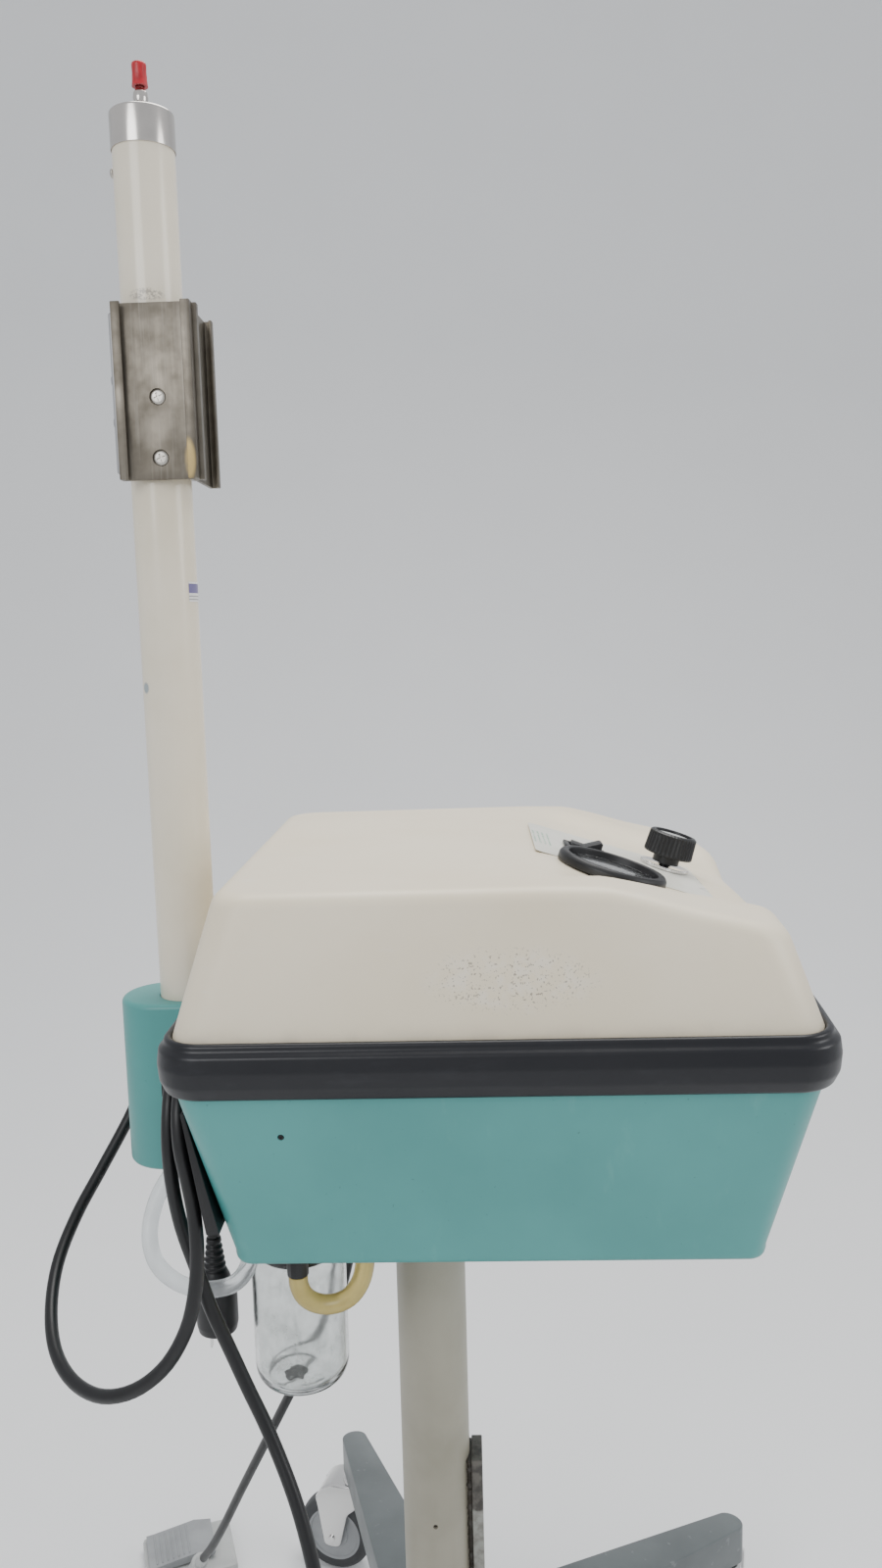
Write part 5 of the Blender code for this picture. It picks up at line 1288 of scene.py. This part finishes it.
piece("gauge_window", lathe(lens, 96), LENS, stands_for=["gauge_lens"], place=gauge_at)
face = lathe([(0.0, -0.0025), (0.0322, -0.0025), (0.0322, -0.0029), (0.0, -0.0029)], 96)
piece("dial_face", face, dial_finish(), place=gauge_at)
print("gauge cup, ring, window and face")

# %% [markdown]
# The scale runs clockwise over three quarters of a turn. The ticks are one small bar put round a ring,
# and each numeral is text made into a mesh before it is placed.

# %% Scale and needle
TICK_TURN, TICK_SPAN = math.radians(-45), math.radians(-270)
TICKS = (("major", 10, 0.0009, 0.0050, 0.0275), ("minor", 50, 0.0004, 0.0030, 0.0285))
NUMERAL_R, NUMERAL_STEP = 0.0205, 20
upright = Matrix.Rotation(math.radians(-90), 4, "Z")
for label, count, wide, length, reach in TICKS:
    tick = block((length, wide, 0.0002))
    repeated(f"{label}_ticks", RING, tick, count + 1, reach, TICK_TURN, TICK_SPAN * (count + 1) / count, INK,
             gauge_at @ Matrix.Translation((0, 0, -0.0023)))
for k in range(6):
    word = bpy.data.curves.new("numeral", "FONT")
    word.body = str(k * NUMERAL_STEP)
    word.size = 0.0062
    word.extrude = 0.0001
    word.align_x = word.align_y = "CENTER"
    holder = bpy.data.objects.new("numeral", word)
    bpy.context.scene.collection.objects.link(holder)
    angle = TICK_TURN + TICK_SPAN * k / 5
    spot = Matrix.Translation((NUMERAL_R * math.cos(angle), NUMERAL_R * math.sin(angle), -0.0022))
    piece(f"dial_numeral_{k * NUMERAL_STEP}", evaluated(holder), INK,
          place=gauge_at @ spot @ upright)
needle = extrude([(-0.007, -0.0012), (-0.002, -0.0013), (0.026, -0.0003), (0.026, 0.0003), (-0.002, 0.0013),
                  (-0.007, 0.0012)], -0.0003, 0.0003)
hub = rounded([(0.0, 0.0012), (0.0026, 0.0012), (0.0026, -0.0003), (0.0, -0.0003)], 0.0004)
piece("needle_arm", join(needle, (lathe(hub, 32), None)), INK, "needle", ["gauge_needle"],
      panel_place(*GAUGE, -0.0012, -45.0))

# %% [markdown]
# The knob is a lathe with shallow upright ribs pressed into its skirt, and a pale disc let into the top.

# %% Knob, washer and switch
knob_at = panel_place(*KNOB, 0.0)
RIBS, KNURLS = 40, 72


def ribbed(r, a, z):
    deep = 0.0007 * eased((z - 0.0128) / 0.0015) * eased((0.0322 - z) / 0.0015) if r > 0.0180 else 0.0
    reach = r - deep * (0.5 - 0.5 * math.cos(a * RIBS)) ** 0.6
    return (reach * math.cos(a), reach * math.sin(a), z)


body = [(0.0, 0.0302), (0.0160, 0.0302), (0.0166, 0.0326), (0.0176, 0.0330), (0.0195, 0.0328),
        (0.0213, 0.0314)]
body += [(0.0213 + 0.0009 * k / 14, 0.0314 - 0.0180 * k / 14) for k in range(1, 15)]
body += [(0.0216, 0.0124), (0.0200, 0.0120), (0.0120, 0.0120), (0.0120, 0.0050), (0.0045, 0.0050),
         (0.0045, -0.0118), (0.0, -0.0118)]
piece("ribbed_knob", lathe(body, RIBS * 8, shape=ribbed), BLACK, "knob", ["knob"],
      knob_at, sharp=50)
disc = rounded([(0.0, 0.0305), (0.0154, 0.0305), (0.0154, 0.0303), (0.0, 0.0303)], 0.0001, 2)
piece("knob_disc", lathe(disc, 96), PALE_PLASTIC, "knob", place=knob_at)
piece("knob_mark", block((0.0060, 0.0012, 0.0003)), INK, "knob",
      place=knob_at @ Matrix.Translation((0.0118, 0, 0.0307)))


def knurled(r, a, z):
    reach = r - (0.0004 * (0.5 - 0.5 * math.cos(a * KNURLS)) if r > 0.0215 else 0.0)
    return (reach * math.cos(a), reach * math.sin(a), z)


ring = rounded([(0.0060, 0.0008), (0.0225, 0.0008), (0.0225, 0.0034), (0.0200, 0.0034), (0.0160, 0.0030),
                (0.0060, 0.0030)], 0.0005, 3, closed=True)
piece("knurled_washer", lathe(ring, KNURLS * 6, closed=True, shape=knurled), CHROME,
      stands_for=["knob_washer"], place=knob_at)
piece("switch_surround", refined("switch_frame", 0.0006), BLACK,
      stands_for=["switch_frame"])
piece("rocker_cap", refined("switch_rocker", 0.0008), BLACK, "rocker", ["switch_rocker"])
piece("valve_block", refined("valve_body", 0.0008), BRASS, stands_for=["valve_body"])
print("knob with", RIBS, "ribs, washer and switch")

# %% [markdown]
# ## The column and its base
# The column is a welded tube with a small cross hole. A flat bar is glued up its front with a rough
# dark line of old adhesive; the bar is bare metal at its top and grey paint below.

# %% Column, bar and adhesive
COLUMN_R, COLUMN_FOOT, TRAY = 0.03175, 0.2563, 0.8022
PIN_X, PIN_Z = -0.0007, 0.400
tube = lathe([(COLUMN_R - 0.003, COLUMN_FOOT), (COLUMN_R, COLUMN_FOOT), (COLUMN_R, 0.7961), (0.0600, 0.7961),
              (0.0600, 0.8031), (COLUMN_R - 0.003, 0.8031)], 128, closed=True)
pin_hole = drill(0.0022, at(PIN_X, -COLUMN_R, PIN_Z, LEAN), 0.01)
tray = block((0.3350, 0.3300, 0.0020), 0.0006)
piece("column_tube", join(carve(tube, pin_hole), (tray, at(0.0675, 0, TRAY + 0.0010))), COLUMN,
      stands_for=["column"], place=at(COLUMN_X, 0, 0), sharp=38)
# The dark disc just inside the cross hole is painted shade: it makes the hole read dark, as the inside of the
# tube is.
piece("pin_hole_dark", lathe([(0.0, 0.0), (0.0026, 0.0), (0.0026, -0.0004), (0.0, -0.0004)], 24), GLUE_AND_SHADE,
      place=at(COLUMN_X + PIN_X, -COLUMN_R + 0.0022, PIN_Z, LEAN))
piece("front_bar", block((0.0100, 0.0360, 0.2000), 0.0008), BAR, stands_for=["column_bar"],
      place=at(0.0385 + COLUMN_X, 0, 0.3560))
print("column from", COLUMN_FOOT, "to its tray at", TRAY)


# %% Old adhesive
def adhesive():
    """A ragged squeezed-out line of glue that fills the gap between the bar and the tube."""
    bm = bmesh.new()
    rows = []
    for k in range(121):
        z = 0.2580 + 0.1960 * k / 120
        ragged = noise.noise((z * 190, 0.3, 0.0)) * 0.0035 + noise.noise((z * 620, 1.7, 0.0)) * 0.0016
        half = 0.0150 + ragged
        rows.append([bm.verts.new((x, y, z)) for x, y in ((0.0270, -half + 0.004), (0.0312, -half - 0.0010),
                    (0.0334, -half), (0.0334, half), (0.0312, half + 0.0010), (0.0270, half - 0.004))])
    for one, two in zip(rows, rows[1:]):
        bridge(bm, one, two)
    bm.faces.new(rows[0])
    bm.faces.new(rows[-1])
    return bm


piece("adhesive_line", adhesive(), GLUE_AND_SHADE, place=at(COLUMN_X, 0, 0), sharp=60)
print("one line of adhesive")

# %% [markdown]
# Five folded arms are bolted round a five-sided hub. Each is an inverted channel that tapers and falls
# to a rounded tip; the caster's stem comes up inside the tip.

# %% Hub and arms
ARM_ANGLES = (36.0, 108.0, 180.0, 252.0, 324.0)
ARM_LENGTH, ARM_ROOT, ARM_DEPTH, SHEET, TIP_HALF = 0.4146, 0.0600, 0.0450, 0.0035, 0.0155
SWIVEL_R, TAPER_END = 0.4000, 0.24
piece("five_sided_hub", refined("base_hub", 0.0006), GREY, stands_for=["base_hub"])


def arm_top(r):
    return 0.2520 + (0.1796 - 0.2520) * r / ARM_LENGTH


def arm_outline(back):
    """The arm's plan, drawn back by a distance from its outer skin."""
    reach = ARM_LENGTH + 0.006 - 0.0150
    start = ARM_ROOT + back
    half = [0.0400 - 0.0250 * r / ARM_LENGTH - back for r in (start, TAPER_END)]
    tip = TIP_HALF - back
    side = [(start, -half[0]), (TAPER_END, -half[1]), (reach, -tip)]
    turns = [math.pi * k / 24 for k in range(1, 24)]
    arc = [(reach + tip * math.sin(a), -tip * math.cos(a)) for a in turns]
    return side + arc + [(x, -y) for x, y in reversed(side)]


def arm():
    bm = bmesh.new()
    loops = []
    for back, sink in ((0.0, ARM_DEPTH), (0.0, 0.0), (SHEET, SHEET), (SHEET, ARM_DEPTH)):
        loops.append([bm.verts.new((x, y, arm_top(x) - sink)) for x, y in arm_outline(back)])
    for one, two in ((0, 1), (2, 3), (3, 0)):
        bridge(bm, loops[one], loops[two])
    bm.faces.new(loops[1])
    bm.faces.new(loops[2])
    return soften(bm, 0.0014, 3)


for k, angle in enumerate(ARM_ANGLES, 1):
    piece(f"folded_arm_{k}", arm(), GREY, stands_for=[f"base_arm_{k}"],
          place=at(COLUMN_X, 0, 0, turned(angle, "Z")))
print("hub and", len(ARM_ANGLES), "arms")

# %% [markdown]
# Each caster is a bright hooded fork that trails one wheel. The fork is one outline cut hollow for the
# wheel, under a domed swivel race; the wheel is a grey core with a rubber tread moulded round it.

# %% Caster fork
WHEEL_R, TRAIL = 0.0500, 0.0300
TRAIL_DIRECTION = (75.0, 165.0, 205.0, 200.0, 300.0)
FORK_TOP = arm_top(SWIVEL_R) - 0.0545 - 0.0003


def fork():
    top = FORK_TOP
    outline = [(-0.0170, top - 0.0200), (-0.0150, top - 0.0080), (-0.0090, top), (0.0290, top),
               (0.0420, top - 0.0070), (0.0520, top - 0.0230), (0.0500, top - 0.0300), (0.0410, 0.0390),
               (0.0300, 0.0370), (0.0190, 0.0390), (0.0080, top - 0.0420)]
    well = [(-0.0600, -0.06), (-0.0600, 0.060), (-0.0120, top - 0.0200), (-0.0060, top - 0.0040),
            (0.0300, top - 0.0040), (0.0500, top - 0.0180), (0.0900, top - 0.0250), (0.0900, -0.06)]
    shell = extrude(rounded(outline, 0.005, 4, closed=True), -0.0210, 0.0210, 0.0030, 4)
    hollow = extrude(well, -0.0180, 0.0180)
    hood = carve(moved(shell, LEAN.to_4x4()), moved(hollow, LEAN.to_4x4()))
    under = arm_top(SWIVEL_R)
    stem = rounded([(0.0, under - 0.0060), (0.0054, under - 0.0060), (0.0054, under - 0.0490),
                    (0.0120, under - 0.0490), (0.0170, under - 0.0520), (0.0180, under - 0.0545),
                    (0.0180, top - 0.0010), (0.0, top - 0.0010)], 0.0009, 3)
    axle = rounded([(0.0, -0.0235), (0.0038, -0.0235), (0.0045, -0.0228), (0.0045, 0.0228), (0.0038, 0.0235),
                    (0.0, 0.0235)], 0.0004)
    return join(hood, (lathe(stem, 48), None), (lathe(axle, 32), at(TRAIL, 0, WHEEL_R, LEAN)))


print("forks reach up to", round(FORK_TOP, 4))

# %% Casters
tread = rounded([(0.0352, -0.0128), (0.0430, -0.0150), (0.0485, -0.0110), (WHEEL_R, -0.0040),
                 (WHEEL_R, 0.0040), (0.0485, 0.0110), (0.0430, 0.0150), (0.0352, 0.0128)],
                0.0022, 4, closed=True)
core = rounded([(0.0052, -0.0130), (0.0180, -0.0130), (0.0190, -0.0105), (0.0320, -0.0105), (0.0330, -0.0122),
                (0.0362, -0.0128), (0.0362, 0.0128), (0.0330, 0.0122), (0.0320, 0.0105), (0.0190, 0.0105),
                (0.0180, 0.0130), (0.0052, 0.0130)], 0.0008, 3, closed=True)
for k, (angle, trail) in enumerate(zip(ARM_ANGLES, TRAIL_DIRECTION), 1):
    a = math.radians(angle)
    swivel = Vector((COLUMN_X, 0, 0)) + SWIVEL_R * Vector((math.cos(a), math.sin(a), 0))
    fork_place = at(*swivel, turned(trail, "Z"))
    wheel_place = fork_place @ at(TRAIL, 0, WHEEL_R, LEAN)
    piece(f"hooded_fork_{k}", fork(), CHROME, f"caster_{k}", [f"caster_fork_{k}"],
          fork_place)
    piece(f"wheel_tread_{k}", lathe(tread, 96, closed=True), TYRE, f"wheel_{k}",
          [f"caster_wheel_{k}"], wheel_place, sharp=50)
    piece(f"wheel_core_{k}", lathe(core, 96, closed=True), PEDAL, f"wheel_{k}",
          place=wheel_place)
print("five casters")

# %% [markdown]
# ## The trap jar
# A clear glass jar pushes up onto a black bung under the housing. A whitish film has dried on its
# inside up to an uneven tide line, and a dark residue lies in its bottom.

# %% Jar
JAR = Vector((-0.1120 + COLUMN_X, -0.0600, 0.0))
JAR_R, JAR_BASE, JAR_TOP = 0.0410, 0.5720, 0.6960
glass = [(0.0, JAR_BASE + 0.0010), (0.0180, JAR_BASE + 0.0006), (0.0260, JAR_BASE),
         (0.0365, JAR_BASE + 0.004), (JAR_R, JAR_BASE + 0.014), (JAR_R, JAR_TOP - 0.018),
         (0.0360, JAR_TOP - 0.006), (0.0360, JAR_TOP),
         (0.0330, JAR_TOP), (0.0330, JAR_TOP - 0.007), (JAR_R - 0.003, JAR_TOP - 0.019),
         (JAR_R - 0.003, JAR_BASE + 0.016), (0.0340, JAR_BASE + 0.008), (0.0, JAR_BASE + 0.006)]
piece("glass_jar", lathe(rounded(glass, 0.006, 6), 128), GLASS, "jar", ["jar"], at(*JAR),
      sharp=60)
film = rounded([(0.0, JAR_BASE + 0.0065), (0.0335, JAR_BASE + 0.0085), (JAR_R - 0.0033, JAR_BASE + 0.0165),
                (JAR_R - 0.0033, JAR_BASE + 0.0960)], 0.006, 6)
piece("dried_film", lathe(film, 96), FILM, "jar", place=at(*JAR), sharp=60)


def lump(r, a, z):
    reach = r * (1.0 + 0.35 * noise.noise((math.cos(a) * 1.7, math.sin(a) * 1.7, 0.4)))
    return (reach * math.cos(a), reach * math.sin(a), z + 0.0008 * noise.noise((a * 2, r * 300, 2.0)))


residue = [(0.0, 0.0028), (0.0040, 0.0026), (0.0080, 0.0016), (0.0105, 0.0), (0.0, 0.0)]
piece("dark_residue", lathe(rounded(residue, 0.002, 3), 48, shape=lump), GLUE_AND_SHADE, "jar",
      place=at(JAR.x - 0.004, JAR.y - 0.008, JAR_BASE + 0.0082), sharp=60)
piece("jar_bung", refined("jar_lid", 0.0005), BLACK, stands_for=["jar_lid"])
print("jar from", JAR_BASE, "to", JAR_TOP)

# %% [markdown]
# ## Fittings, plug and foot switch
# Small turned and moulded parts where the hoses and leads leave the housing. The plug has a ribbed
# strain relief and three pins; the foot switch has a low base and a pedal with tread bars.

# %% Small fittings
for node, finish, slot in (("cord_hook", BLACK, "black_plastic"), ("mains_gland", BLACK, "black_plastic"),
                           ("foot_gland", BLACK, "black_plastic"), ("gas_barb", BRASS, "brass"),
                           ("suction_barb", BRASS, "brass"), ("pole_foot_fitting", BRASS, "brass"),
                           ("vacuum_pump", CASTING, "pump_metal")):
    piece(f"{node}_shape", refined(node, 0.0004), finish, stands_for=[node])
piece("rear_pole_screw", screw_head(0.0042, 0.0026), SCREW, stands_for=["pole_screw"],
      place=at(POLE.x - POLE_R - 0.0003, 0, 1.6000, turned(-90, "Y")))
print("seven fittings and one screw")

# %% Plug
PLUG = Vector((-0.1905 + COLUMN_X, -0.0400, 0.6914))
GROOVE, RELIEF_RIBS = 0.0012, 5
relief = [(0.0, 0.0), (0.0064, 0.0)]
for k in range(RELIEF_RIBS):
    low, wide = -0.0040 - 0.0056 * k, 0.0070 + 0.0007 * k
    relief += [(wide, low), (wide - GROOVE, low - 0.0008), (wide - GROOVE, low - 0.0028),
               (wide + 0.0003, low - 0.0036)]
relief += [(0.0128, -0.0360), (0.0150, -0.0450), (0.0185, -0.0470), (0.0185, -0.0800), (0.0170, -0.0870),
           (0.0, -0.0870)]
plug_body = piece("plug_body", lathe(rounded(relief, 0.0009, 3), 72), BLACK,
                  stands_for=["mains_plug"], place=at(*PLUG))
PIN_GAP = 0.0110
earth = rounded([(0.0, -0.0860), (0.0024, -0.0860), (0.0024, -0.1048), (0.0014, -0.1060), (0.0, -0.1060)],
                0.0004)
blades = [(block((0.0016, 0.0063, 0.0185), 0.0004), at(x, -PIN_GAP, -0.0952)) for x in (-0.0064, 0.0064)]
plug_pins = piece("plug_pins", join(lathe(earth, 32), *blades), CHROME,
                  place=at(*(PLUG + Vector((0, PIN_GAP, 0)))))
connector = piece("hose_coupler", refined("hose_connector", 0.0005), BRASS,
                  stands_for=["hose_connector"])
print("plug with", RELIEF_RIBS, "ribs on its strain relief, and the hose's coupler")

# %% Foot switch
SWITCH_AT = Vector((-0.3500 + COLUMN_X, 0.3850, 0.0225))
TREAD_BARS, TREAD_RUN = 7, 0.0490
switch_base, switch_pedal = NODES["footswitch_base"], NODES["footswitch_pedal"]
for node, finish in ((switch_base, PALE_PLASTIC), (switch_pedal, PEDAL)):
    node.data.materials.clear()
    node.data.materials.append(finish)
tread_bar = moved(half_round(0.0024, 0.0010, 0.0500), LEAN.to_4x4())
slope = Matrix.Rotation(-math.atan2(0.0065, 0.0540), 4, "Y")
treads_place = at(*SWITCH_AT, turned(20, "Z")) @ Matrix.Translation((-0.0430, 0.0060, 0.0042)) @ slope
switch_treads = repeated("pedal_treads", ROW, tread_bar, TREAD_BARS, 0.0, 0.0, TREAD_RUN, PEDAL,
                         treads_place, "foot_pedal")
print("foot switch with", TREAD_BARS, "tread bars")

# %% [markdown]
# ## The cords
# Each cord and hose above is made with its thickness along its route, and its length is printed there.

# %% Cords
print("five cords made above")
